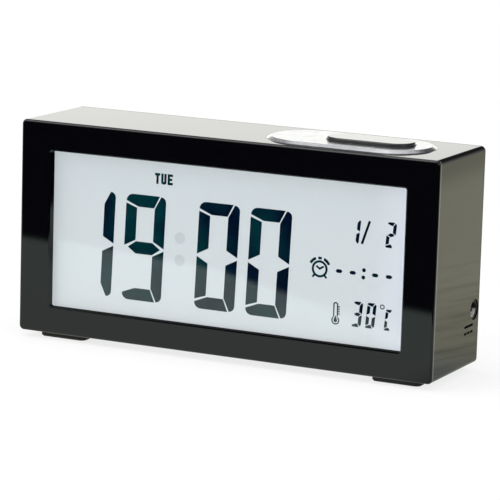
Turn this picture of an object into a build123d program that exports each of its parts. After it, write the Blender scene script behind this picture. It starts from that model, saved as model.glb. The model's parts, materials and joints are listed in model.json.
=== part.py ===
from build123d import *
import os
from math import cos, pi, sin, sqrt

# Desk alarm clock: a gloss black case in two halves round a wide LCD, a snooze key in an oval trim
# on top, a DC socket where the halves meet at the side, and a battery bay in the back.
# Millimetres. The front looks along -Y, +Z is up, and the origin lies under the middle of the clock
# on the surface that it stands on.

os.makedirs("parts", exist_ok=True)

# Case
CASE_WIDTH = 145.0
CASE_HEIGHT = 69.0
CASE_DEPTH = 37.6
COVER_DEPTH = 4.5
WALL = 2.2
FRONT_WALL = 2.6
BACK_WALL = 2.2
CORNER_RADIUS = 1.6
INNER_CORNER = 0.8
FRONT_EDGE_RADIUS = 0.7
BACK_EDGE_RADIUS = 0.9
LIP_LENGTH = 2.0
LIP_WALL = 1.0
LIP_CLEARANCE = 0.15
BEZEL_SIDE = 10.8
BEZEL_TOP = 9.4
BEZEL_BOTTOM = 8.7
WINDOW_CORNER = 0.6
WINDOW_CHAMFER = 0.4

# Feet
FOOT_LENGTH = 16.5
FOOT_WIDTH = 6.0
FOOT_HEIGHT = 2.2
FOOT_CORNER = 2.0
FOOT_CHAMFER = 0.4
FOOT_POCKET = 0.5
FOOT_CLEARANCE = 0.1
FOOT_END_INSET = 5.5
FOOT_FRONT_INSET = 4.0
FOOT_SEAM_INSET = 1.0

# Screw columns between the halves, and their screws
COLUMN_RADIUS = 2.8
COLUMN_GAP = 0.3
COLUMN_EDGE = 1.0
CASE_SCREW_RADIUS = 1.1
CASE_SCREW_LENGTH = 14.0
CASE_SCREW_HEAD = 2.3
HEAD_POCKET = 2.6
HEAD_HEIGHT = 1.5
SCREW_CLEARANCE = 0.1
SCREW_PLAY = 0.4
RECESS_LENGTH = 2.2
RECESS_WIDTH = 0.6
RECESS_DEPTH = 0.8

# Display stack, front to back
LENS_THICKNESS = 1.5
LENS_OVERLAP = 1.8
LCD_GAP = 0.2
GLASS_THICKNESS = 1.1
GLASS_OVERLAP = 0.9
GLASS_LEDGE = 4.0
FILM_GAP = 0.1
GUIDE_THICKNESS = 3.0
REFLECTOR_THICKNESS = 0.3
RIB_DEPTH = 1.5
RIB_WIDTH = 2.0
HOLDER_WALL = 1.3
HOLDER_CLEARANCE = 0.2
STRIP_WIDTH = 1.8
STRIP_END_INSET = 7.0
LAMP_LENGTH = 3.4
LAMP_WIDTH = 2.0
LAMP_SPACING = 29.0

# Boards
BOARD_THICKNESS = 1.6
BOARD_EDGE = 0.5
BOARD_BOTTOM_GAP = 0.8
BOARD_TOP_GAP = 6.0
BOARD_NOTCH = 0.4
POST_RADIUS = 2.4
POST_SPACING = 29.0
BOARD_SCREW_RADIUS = 0.9
BOARD_SCREW_LENGTH = 6.0
BOARD_SCREW_HEAD = 1.9
BOARD_SCREW_HEIGHT = 1.3
CHIP_RADIUS = 7.5
CHIP_HEIGHT = 1.8
CHIP_X = -8.0
CHIP_RISE = 4.0
CRYSTAL_OFFSET = 12.0
CRYSTAL_RADIUS = 1.05
CRYSTAL_LENGTH = 6.2
CAPACITOR_RADIUS = 2.5
CAPACITOR_HEIGHT = 7.0
CAPACITOR_SPACING = 8.0
SENSOR_RADIUS = 1.3
SENSOR_HEIGHT = 6.0
CAPACITOR_INSET = 31.8
CAPACITOR_DROP = 18.0
SENSOR_INSET = 13.8
SENSOR_DROP = 20.0

# Snooze key
TRIM_LENGTH = 55.7
TRIM_FRONT_INSET = 3.8
TRIM_SEAM_INSET = 1.0
TRIM_RISE = 0.8
TRIM_POCKET = 0.8
TRIM_BEVEL = 1.5
TRIM_CLEARANCE = 0.1
TRIM_END_INSET = 9.45
TRIM_PEG_RADIUS = 1.1
TRIM_PEG_CLEARANCE = 0.1
TRIM_PEG_STAKE = 0.6
KEY_SHARE = 0.52
KEY_WIDTH = 12.0
KEY_RISE = 1.1
KEY_END_INSET = 6.75
KEY_EDGE = 0.4
KEY_FLANGE = 1.5
KEY_FLANGE_THICKNESS = 1.2
KEY_CLEARANCE = 0.3
KEY_SEAT = 0.05
KEY_POST_RADIUS = 2.0
DOME_HEIGHT = 3.0
DOME_BASE_RADIUS = 4.0
DOME_TOP_RADIUS = 2.2
DOME_WALL = 0.6
SNOOZE_BOARD_WIDTH = 8.5
SNOOZE_BOARD_GAP = 0.3
SNOOZE_POST_RADIUS = 2.0
SNOOZE_POST_GAP = 0.3
SNOOZE_BOARD_END = 2.4

# DC socket
SOCKET_HEIGHT = 17.8
SOCKET_HOLE_RADIUS = 3.3
SOCKET_NOSE_RADIUS = 3.1
SOCKET_NOSE_RECESS = 0.4
SOCKET_BORE_RADIUS = 2.5
SOCKET_BORE_DEPTH = 9.0
SOCKET_PIN_RADIUS = 0.85
SOCKET_PIN_RECESS = 0.4
SOCKET_PIN_ROOT = 1.5
SOCKET_PIN_ROOT_RADIUS = 0.6
SOCKET_SLEEVE_WALL = 0.3
SOCKET_SLEEVE_RECESS = 0.3
SOCKET_SLEEVE_LENGTH = 6.0
SOCKET_SLEEVE_SLIT = 0.7
SOCKET_LENGTH = 12.0
SOCKET_WIDTH = 7.4
SOCKET_AXIS_RISE = 4.5
SOCKET_RELIEF = 1.2
SOCKET_BACK_GAP = 0.1
SOCKET_SIDE_GAP = 0.3
SOCKET_LIP_GAP = 0.2

# Controls on the back
REAR_BOARD_THICKNESS = 1.2
REAR_BOARD_END = 10.5
REAR_BOARD_TOP_GAP = 2.2
REAR_LEG_WIDTH = 18.0
REAR_POST_RADIUS = 2.2
REAR_POST_OUTSET = 7.6
REAR_POST_RISE = 15.0
BUTTON_PITCH = 14.0
BUTTON_RADIUS = 3.5
BUTTON_FLANGE = 1.1
BUTTON_FLANGE_THICKNESS = 1.2
BUTTON_CLEARANCE = 0.3
BUTTON_SINK = 0.3
BUTTON_EDGE = 0.4
BUTTON_SEAT = 0.1
CONTROL_POCKET = 1.0
CONTROL_POCKET_MARGIN = 2.0
CONTROL_POCKET_CORNER = 3.0
ROOM_OVER_BUTTONS = 0.27
SWITCH_SIZE = 6.0
SWITCH_HEIGHT = 3.6
SWITCH_BORE_DEPTH = 1.9
STEM_RADIUS = 1.6
STEM_CLEARANCE = 0.15
STEM_HIDDEN = 1.0
STEM_RISE = 1.3
SLIDE_GAP = 17.0
SLIDE_LENGTH = 8.6
SLIDE_WIDTH = 4.6
SLIDE_HEIGHT = 4.2
SLIDE_WELL = 1.6
SLIDE_TRAVEL = 2.0
SLIDE_CLEARANCE = 0.3
KNOB_LENGTH = 3.0
KNOB_WIDTH = 2.2
KNOB_SINK = 0.4
KNOB_GROOVE = 0.3

# Sounder
SOUNDER_MARGIN = 3.7
SOUNDER_DISC = 0.3
SOUNDER_RIM = 3.5
SOUNDER_ELEMENT = 0.25
SOUNDER_CLEARANCE = 0.2
SOUNDER_RING_WALL = 1.1
SOUNDER_LEDGE = 0.9
SOUNDER_ROOM = 1.5
SOUNDER_RING_DEPTH = 3.2
SOUND_HOLE_RADIUS = 0.9

# Batteries
CELL_COUNT = 3
CELL_RADIUS = 5.25
CELL_LENGTH = 43.4
CELL_NUB_RADIUS = 1.9
CELL_NUB = 1.1
CELL_EDGE = 0.6
CELL_PITCH = 11.2
CELL_ROOM = 0.6
CELL_CLEARANCE = 0.3
BAY_WALL = 1.4
BAY_SIDE = 0.6
ROOM_UNDER_DOOR = 0.23
CRADLE_HEIGHT = 3.2
CRADLE_THICKNESS = 1.2
CRADLE_SPACING = 24.0
CONTACT_THICKNESS = 0.4
CONTACT_WIDTH = 9.4
CONTACT_DIMPLE = 0.6
CONTACT_DIMPLE_RADIUS = 2.2
TAIL_WIDTH = 3.0
TAIL_LENGTH = 2.0
TAIL_CLEARANCE = 0.1
SPRING_LENGTH = 6.0
SPRING_TURNS = 3
SPRING_WIRE_RADIUS = 0.3
SPRING_BASE_RADIUS = 3.6
SPRING_TIP_RADIUS = 2.0
SPRING_GAP = 0.05

# Battery door
DOOR_THICKNESS = 1.5
DOOR_OVERLAP = 1.6
DOOR_CLEARANCE = 0.3
DOOR_SEAT = 0.1
DOOR_CORNER = 1.0
TAB_WIDTH = 8.0
TAB_SPACING = 34.0
TAB_THICKNESS = 0.8
TAB_DROP = 1.6
TAB_ROOT = 1.2
TAB_GAP = 0.15
TAB_PLAY = 0.4
LATCH_WIDTH = 12.0
LATCH_LENGTH = 9.0
LATCH_SLIT = 0.8
LATCH_GRIPS = 3
LATCH_GRIP_PITCH = 1.8
LATCH_GRIP_DEPTH = 0.4
THUMB_SHARE = 0.6
THUMB_DEPTH = 1.0

# Leads
LEAD_RADIUS = 0.6
LEAD_GAP = 0.05
LEAD_STEP = 3.0
LEAD_REACH = 7.0
LEAD_BEND = 4.0
RIBBON_WIDTH = 12.7
RIBBON_THICKNESS = 0.9
RIBBON_STEP = 5.0
RIBBON_SHARE = 0.28

# Where things stand
CASE_BOTTOM = FOOT_HEIGHT
CASE_TOP = CASE_BOTTOM + CASE_HEIGHT
MID_Z = (CASE_BOTTOM + CASE_TOP) / 2
SIDE_X = CASE_WIDTH / 2
FRONT_Y = -CASE_DEPTH / 2
BACK_Y = CASE_DEPTH / 2
SEAM_Y = BACK_Y - COVER_DEPTH
COVER_FLOOR_Y = BACK_Y - BACK_WALL
INNER_WIDTH = CASE_WIDTH - 2 * WALL
INNER_HEIGHT = CASE_HEIGHT - 2 * WALL
INNER_BOTTOM = CASE_BOTTOM + WALL
INNER_TOP = CASE_TOP - WALL
LIP_WIDTH = INNER_WIDTH - 2 * LIP_CLEARANCE
LIP_HEIGHT = INNER_HEIGHT - 2 * LIP_CLEARANCE
LIP_END_Y = SEAM_Y - LIP_LENGTH
LIP_FLOOR = MID_Z - LIP_HEIGHT / 2 + LIP_WALL
LIP_CEILING = MID_Z + LIP_HEIGHT / 2 - LIP_WALL
WINDOW_WIDTH = CASE_WIDTH - 2 * BEZEL_SIDE
WINDOW_HEIGHT = CASE_HEIGHT - BEZEL_TOP - BEZEL_BOTTOM
WINDOW_Z = CASE_BOTTOM + BEZEL_BOTTOM + WINDOW_HEIGHT / 2

LENS_Y = FRONT_Y + FRONT_WALL
LENS_BACK_Y = LENS_Y + LENS_THICKNESS
FRONT_GLASS_BACK_Y = LENS_BACK_Y + LCD_GAP + GLASS_THICKNESS
REAR_GLASS_BACK_Y = FRONT_GLASS_BACK_Y + GLASS_THICKNESS
GUIDE_Y = REAR_GLASS_BACK_Y + FILM_GAP
GUIDE_BACK_Y = GUIDE_Y + GUIDE_THICKNESS
REFLECTOR_BACK_Y = GUIDE_BACK_Y + FILM_GAP + REFLECTOR_THICKNESS
BOARD_Y = REFLECTOR_BACK_Y + RIB_DEPTH
BOARD_BACK_Y = BOARD_Y + BOARD_THICKNESS
GLASS_WIDTH = WINDOW_WIDTH + 2 * GLASS_OVERLAP
GLASS_HEIGHT = WINDOW_HEIGHT + 2 * GLASS_OVERLAP
GLASS_BOTTOM = WINDOW_Z - GLASS_HEIGHT / 2
HOLDER_INNER_WIDTH = GLASS_WIDTH + 2 * HOLDER_CLEARANCE
HOLDER_INNER_HEIGHT = GLASS_HEIGHT + GLASS_LEDGE + 2 * HOLDER_CLEARANCE
HOLDER_WIDTH = HOLDER_INNER_WIDTH + 2 * HOLDER_WALL
HOLDER_HEIGHT = HOLDER_INNER_HEIGHT + 2 * HOLDER_WALL
HOLDER_Z = WINDOW_Z - GLASS_LEDGE / 2
HOLDER_TOP = HOLDER_Z + HOLDER_HEIGHT / 2
GUIDE_WIDTH = GLASS_WIDTH - 2 * (LAMP_WIDTH + HOLDER_CLEARANCE)

CHIP_Z = MID_Z + CHIP_RISE
CHIP_SPHERE = (CHIP_RADIUS**2 + CHIP_HEIGHT**2) / (2 * CHIP_HEIGHT)
CRYSTAL_X = CHIP_X + CHIP_RADIUS + BOARD_EDGE
CRYSTAL_Z = CHIP_Z + CRYSTAL_OFFSET
CAPACITOR_X = INNER_WIDTH / 2 - BOARD_EDGE - CAPACITOR_INSET
CAPACITOR_Z = MID_Z - CAPACITOR_DROP
SENSOR_X = BOARD_EDGE + SENSOR_INSET - INNER_WIDTH / 2
SENSOR_Z = MID_Z - SENSOR_DROP

COLUMN_X = HOLDER_WIDTH / 2 + COLUMN_GAP + COLUMN_RADIUS
COLUMN_SPACING = INNER_HEIGHT - 2 * (COLUMN_EDGE + COLUMN_RADIUS)
COLUMN_END_Y = LIP_END_Y - COLUMN_GAP
HEAD_SEAT_Y = BACK_Y - HEAD_POCKET

TRIM_RIGHT = SIDE_X - TRIM_END_INSET
TRIM_X = TRIM_RIGHT - TRIM_LENGTH / 2
TRIM_WIDTH = SEAM_Y - TRIM_SEAM_INSET - FRONT_Y - TRIM_FRONT_INSET
TRIM_Y = FRONT_Y + TRIM_FRONT_INSET + TRIM_WIDTH / 2
TRIM_BASE_Z = CASE_TOP - TRIM_POCKET
TRIM_TOP_Z = CASE_TOP + TRIM_RISE
KEY_LENGTH = TRIM_LENGTH * KEY_SHARE
KEY_X = TRIM_RIGHT - KEY_END_INSET - KEY_LENGTH / 2
KEY_TOP_Z = TRIM_TOP_Z + KEY_RISE
FLANGE_TOP_Z = TRIM_BASE_Z - KEY_SEAT
FLANGE_BASE_Z = FLANGE_TOP_Z - KEY_FLANGE_THICKNESS
FLANGE_LENGTH = KEY_LENGTH + 2 * KEY_FLANGE
FLANGE_WIDTH = KEY_WIDTH + 2 * KEY_FLANGE
TRIM_PEG_X = (TRIM_LENGTH - TRIM_WIDTH) / 2
TRIM_PEG_Y = (FLANGE_WIDTH / 2 + KEY_CLEARANCE + TRIM_WIDTH / 2) / 2
SNOOZE_BOARD_Z = HOLDER_TOP + SNOOZE_BOARD_GAP + REAR_BOARD_THICKNESS
SNOOZE_POST_LENGTH = INNER_TOP - SNOOZE_BOARD_Z
DOME_TOP_Z = SNOOZE_BOARD_Z + DOME_HEIGHT
SNOOZE_POST_X = FLANGE_LENGTH / 2 + KEY_CLEARANCE + SNOOZE_POST_GAP + SNOOZE_POST_RADIUS

SOCKET_Y = SEAM_Y
SOCKET_Z = CASE_BOTTOM + SOCKET_HEIGHT
SOCKET_FACE_X = SIDE_X - WALL - LIP_CLEARANCE - LIP_WALL - SOCKET_LIP_GAP
SOCKET_NOSE_X = SIDE_X - SOCKET_NOSE_RECESS
SOCKET_REAR_Y = COVER_FLOOR_Y + SOCKET_RELIEF - SOCKET_BACK_GAP
REAR_BOARD_BACK_Y = SOCKET_Y - SOCKET_AXIS_RISE
REAR_BOARD_Y = REAR_BOARD_BACK_Y - REAR_BOARD_THICKNESS

BAY_LENGTH = CELL_LENGTH + CELL_NUB + CONTACT_DIMPLE + 2 * CONTACT_THICKNESS + SPRING_LENGTH
BAY_HEIGHT = (CELL_COUNT - 1) * CELL_PITCH + 2 * (CELL_RADIUS + BAY_SIDE)
DOOR_WIDTH = BAY_LENGTH + 2 * DOOR_OVERLAP
DOOR_HEIGHT = BAY_HEIGHT + 2 * DOOR_OVERLAP

# The height that the door and the controls leave over is shared out round them.
BUTTON_REACH = BUTTON_RADIUS + BUTTON_FLANGE
CONTROL_POCKET_HEIGHT = 2 * (BUTTON_RADIUS + CONTROL_POCKET_MARGIN)
SPARE_HEIGHT = LIP_CEILING - LIP_FLOOR - TAB_DROP - DOOR_HEIGHT - CONTROL_POCKET_HEIGHT / 2 - BUTTON_REACH
DOOR_BOTTOM = LIP_FLOOR + TAB_DROP + ROOM_UNDER_DOOR * SPARE_HEIGHT
DOOR_TOP = DOOR_BOTTOM + DOOR_HEIGHT
BAY_Z = DOOR_BOTTOM + DOOR_HEIGHT / 2
BUTTON_Z = LIP_CEILING - BUTTON_REACH - ROOM_OVER_BUTTONS * SPARE_HEIGHT
THUMB_RADIUS = THUMB_SHARE * (BUTTON_Z - CONTROL_POCKET_HEIGHT / 2 - DOOR_TOP)

BUTTON_NAMES = ("mode", "set", "up", "down")
BUTTON_X = -((len(BUTTON_NAMES) - 1) * BUTTON_PITCH + SLIDE_GAP) / 2
SLIDE_X = -BUTTON_X
STEM_TOP_Y = REAR_BOARD_BACK_Y + SWITCH_HEIGHT + STEM_RISE
BUTTON_TOP_Y = BACK_Y - BUTTON_SINK
BUTTON_FLANGE_Y = COVER_FLOOR_Y - BUTTON_SEAT
CONTROL_POCKET_LENGTH = 2 * (SLIDE_X + SLIDE_LENGTH / 2 + CONTROL_POCKET_MARGIN)
SLIDE_SLOT = KNOB_LENGTH + SLIDE_TRAVEL + 2 * SLIDE_CLEARANCE
KNOB_X = SLIDE_X - SLIDE_TRAVEL / 2
KNOB_ROOT_Y = REAR_BOARD_BACK_Y + SLIDE_HEIGHT - SLIDE_WELL + SLIDE_CLEARANCE

DOOR_Y = BACK_Y - DOOR_THICKNESS
DOOR_LEDGE_Y = DOOR_Y - DOOR_SEAT
BAY_FLOOR_Y = DOOR_LEDGE_Y - 2 * CELL_RADIUS - CELL_ROOM
BAY_END_X = BAY_LENGTH / 2
CELL_Y = BAY_FLOOR_Y + CELL_ROOM / 2 + CELL_RADIUS
CELL_HEIGHTS = [BAY_Z + (index - (CELL_COUNT - 1) / 2) * CELL_PITCH for index in range(CELL_COUNT)]
PIVOT_Y = BACK_Y - DOOR_THICKNESS / 2
PIVOT_Z = DOOR_BOTTOM + DOOR_THICKNESS / 2
TAB_BACK_Y = COVER_FLOOR_Y - TAB_GAP
TAB_FRONT_Y = TAB_BACK_Y - TAB_THICKNESS
TAB_TIP_Z = DOOR_BOTTOM - TAB_DROP
TAB_TOP_Z = PIVOT_Z + TAB_ROOT
TAB_SWEEP = sqrt((PIVOT_Y - TAB_FRONT_Y) ** 2 + (PIVOT_Z - TAB_TIP_Z) ** 2) + TAB_PLAY

BAY_OUTER_X = BAY_END_X + BAY_WALL
SOUNDER_X = -(BAY_OUTER_X + COLUMN_X - COLUMN_RADIUS) / 2
SOUNDER_RING_RADIUS = (COLUMN_X - COLUMN_RADIUS - BAY_OUTER_X) / 2 - SOUNDER_MARGIN
SOUNDER_RADIUS = SOUNDER_RING_RADIUS - SOUNDER_RING_WALL - SOUNDER_CLEARANCE
SOUND_HOLE_CIRCLE = (SOUNDER_RADIUS - SOUNDER_RIM) / 2
SOUNDER_Z = BAY_Z
SOUNDER_SEAT_Y = COVER_FLOOR_Y - SOUNDER_ROOM

REAR_BOARD_LEFT = BUTTON_X - REAR_BOARD_END
REAR_BOARD_RIGHT = COLUMN_X - COLUMN_RADIUS - BOARD_NOTCH
REAR_BOARD_TOP = INNER_TOP - REAR_BOARD_TOP_GAP
REAR_STRIP_BOTTOM = (BAY_Z + BAY_HEIGHT / 2 + BAY_WALL + BUTTON_Z - SWITCH_SIZE / 2) / 2
REAR_LEG_LEFT = REAR_BOARD_RIGHT - REAR_LEG_WIDTH
REAR_LEG_BOTTOM = SOCKET_Z - SOCKET_WIDTH / 2 - BOARD_EDGE
RIBBON_X = REAR_LEG_LEFT + REAR_LEG_WIDTH / 2
RIBBON_RUN = RIBBON_SHARE * (REAR_BOARD_Y - BOARD_BACK_Y)
RIBBON_BEND = RIBBON_RUN / 2
REAR_POSTS = [
    (BUTTON_X - REAR_POST_OUTSET, BUTTON_Z),
    (SLIDE_X + SLIDE_LENGTH / 2 + REAR_POST_OUTSET - REAR_POST_RADIUS, BUTTON_Z),
    (REAR_LEG_LEFT + REAR_LEG_WIDTH / 2, SOCKET_Z + REAR_POST_RISE),
]


def facing_front(y):
    """The upright plane at a depth, drawn in X and Z, whose extrusions run to the front."""
    return Plane.XZ.offset(-y)


def keep(piece, name):
    """Labels a finished piece and writes its file."""
    piece.part.label = name
    export_step(piece.part, f"parts/{name}.step")


def slab(name, back_y, thickness, width, height, z, corner=0.0):
    """An upright sheet with its back at a depth."""
    with BuildPart() as sheet:
        with BuildSketch(facing_front(back_y)):
            with Locations((0, z)):
                if corner:
                    RectangleRounded(width, height, corner)
                else:
                    Rectangle(width, height)
        extrude(amount=thickness)
    keep(sheet, name)


def cross_screws(name, seat, up, places, head_radius, head_height, shank_radius, shank_length):
    """Screws with cross recesses, their heads on a seat plane and their shanks behind it."""
    with BuildPart() as screws:
        with BuildSketch(seat):
            with Locations(*places):
                Circle(head_radius)
        extrude(amount=up * head_height)
        with BuildSketch(seat.offset(up * head_height)):
            with Locations(*places):
                Rectangle(RECESS_LENGTH, RECESS_WIDTH)
                Rectangle(RECESS_WIDTH, RECESS_LENGTH)
        extrude(amount=-up * RECESS_DEPTH, mode=Mode.SUBTRACT)
        with BuildSketch(seat):
            with Locations(*places):
                Circle(shank_radius)
        extrude(amount=-up * shank_length)
    keep(screws, name)


COLUMN_PLACES = [
    (side * COLUMN_X, MID_Z + level * COLUMN_SPACING / 2) for side in (-1, 1) for level in (-1, 1)
]
POST_PLACES = [
    (side * COLUMN_X, MID_Z + level * POST_SPACING / 2) for side in (-1, 1) for level in (-1, 1)
]
FOOT_X = SIDE_X - FOOT_END_INSET - FOOT_LENGTH / 2
FOOT_FRONT_Y = FRONT_Y + FOOT_FRONT_INSET + FOOT_WIDTH / 2
FOOT_REAR_Y = SEAM_Y - FOOT_SEAM_INSET - FOOT_WIDTH / 2
FOOT_PLACES = {
    "foot_front_left": (-FOOT_X, FOOT_FRONT_Y),
    "foot_front_right": (FOOT_X, FOOT_FRONT_Y),
    "foot_rear_left": (-FOOT_X, FOOT_REAR_Y),
    "foot_rear_right": (FOOT_X, FOOT_REAR_Y),
}
NOTCH_REACH = COLUMN_RADIUS + BOARD_NOTCH
NOTCH_PLACES = [
    (side * (COLUMN_X + NOTCH_REACH), MID_Z + level * (COLUMN_SPACING / 2 + NOTCH_REACH))
    for side in (-1, 1)
    for level in (-1, 1)
]
BUTTON_PLACES = [(BUTTON_X + index * BUTTON_PITCH, BUTTON_Z) for index in range(len(BUTTON_NAMES))]
TRIM_PEGS = [(TRIM_X + x * TRIM_PEG_X, TRIM_Y + y * TRIM_PEG_Y) for x in (-1, 1) for y in (-1, 1)]
SNOOZE_POSTS = [(KEY_X - SNOOZE_POST_X, TRIM_Y), (KEY_X + SNOOZE_POST_X, TRIM_Y)]

# Front half of the case: a tray with the window in its floor, closed at the back by the cover.
with BuildPart() as front_case:
    with BuildSketch(facing_front(SEAM_Y)):
        with Locations((0, MID_Z)):
            RectangleRounded(CASE_WIDTH, CASE_HEIGHT, CORNER_RADIUS)
    extrude(amount=SEAM_Y - FRONT_Y)
    fillet(front_case.faces().sort_by(Axis.Y)[0].edges(), FRONT_EDGE_RADIUS)
    with BuildSketch(facing_front(SEAM_Y)):
        with Locations((0, MID_Z)):
            RectangleRounded(INNER_WIDTH, INNER_HEIGHT, INNER_CORNER)
    extrude(amount=SEAM_Y - LENS_Y, mode=Mode.SUBTRACT)
    with BuildSketch(facing_front(LENS_Y)):
        with Locations((0, WINDOW_Z)):
            RectangleRounded(WINDOW_WIDTH, WINDOW_HEIGHT, WINDOW_CORNER)
    extrude(amount=FRONT_WALL, mode=Mode.SUBTRACT)
    chamfer(front_case.faces().sort_by(Axis.Y)[0].inner_wires().edges(), WINDOW_CHAMFER)
    # Screw columns reach from the window wall to the cover's bosses, and short posts carry the board.
    with BuildSketch(facing_front(COLUMN_END_Y)):
        with Locations(*COLUMN_PLACES):
            Circle(COLUMN_RADIUS)
    extrude(amount=COLUMN_END_Y - LENS_Y)
    with BuildSketch(facing_front(COLUMN_END_Y)):
        with Locations(*COLUMN_PLACES):
            Circle(CASE_SCREW_RADIUS + SCREW_CLEARANCE)
    extrude(amount=CASE_SCREW_LENGTH, mode=Mode.SUBTRACT)
    with BuildSketch(facing_front(BOARD_Y)):
        with Locations(*POST_PLACES):
            Circle(POST_RADIUS)
    extrude(amount=BOARD_Y - LENS_Y)
    with BuildSketch(facing_front(BOARD_Y)):
        with Locations(*POST_PLACES):
            Circle(BOARD_SCREW_RADIUS + SCREW_CLEARANCE)
    extrude(amount=BOARD_SCREW_LENGTH, mode=Mode.SUBTRACT)
    # The top takes the trim in a shallow pocket, its pegs, and the snooze key's flange.
    with BuildSketch(Plane.XY.offset(CASE_TOP)):
        with Locations((TRIM_X, TRIM_Y)):
            SlotOverall(TRIM_LENGTH + 2 * TRIM_CLEARANCE, TRIM_WIDTH + 2 * TRIM_CLEARANCE)
    extrude(amount=-TRIM_POCKET, mode=Mode.SUBTRACT)
    with BuildSketch(Plane.XY.offset(CASE_TOP)):
        with Locations((KEY_X, TRIM_Y)):
            SlotOverall(FLANGE_LENGTH + 2 * KEY_CLEARANCE, FLANGE_WIDTH + 2 * KEY_CLEARANCE)
        with Locations(*TRIM_PEGS):
            Circle(TRIM_PEG_RADIUS + TRIM_PEG_CLEARANCE)
    extrude(amount=-WALL, mode=Mode.SUBTRACT)
    with BuildSketch(Plane.XY.offset(SNOOZE_BOARD_Z)):
        with Locations(*SNOOZE_POSTS):
            Circle(SNOOZE_POST_RADIUS)
            Circle(BOARD_SCREW_RADIUS + SCREW_CLEARANCE, mode=Mode.SUBTRACT)
    extrude(amount=SNOOZE_POST_LENGTH)
    # Half of the socket's hole, and shallow seats for the feet.
    with BuildSketch(Plane.YZ.offset(SIDE_X)):
        with Locations((SOCKET_Y, SOCKET_Z)):
            Circle(SOCKET_HOLE_RADIUS)
    extrude(amount=-WALL, mode=Mode.SUBTRACT)
    with BuildSketch(Plane.XY.offset(CASE_BOTTOM)):
        with Locations(*FOOT_PLACES.values()):
            RectangleRounded(
                FOOT_LENGTH + 2 * FOOT_CLEARANCE,
                FOOT_WIDTH + 2 * FOOT_CLEARANCE,
                FOOT_CORNER + FOOT_CLEARANCE,
            )
    extrude(amount=FOOT_POCKET, mode=Mode.SUBTRACT)
keep(front_case, "front_case")

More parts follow.
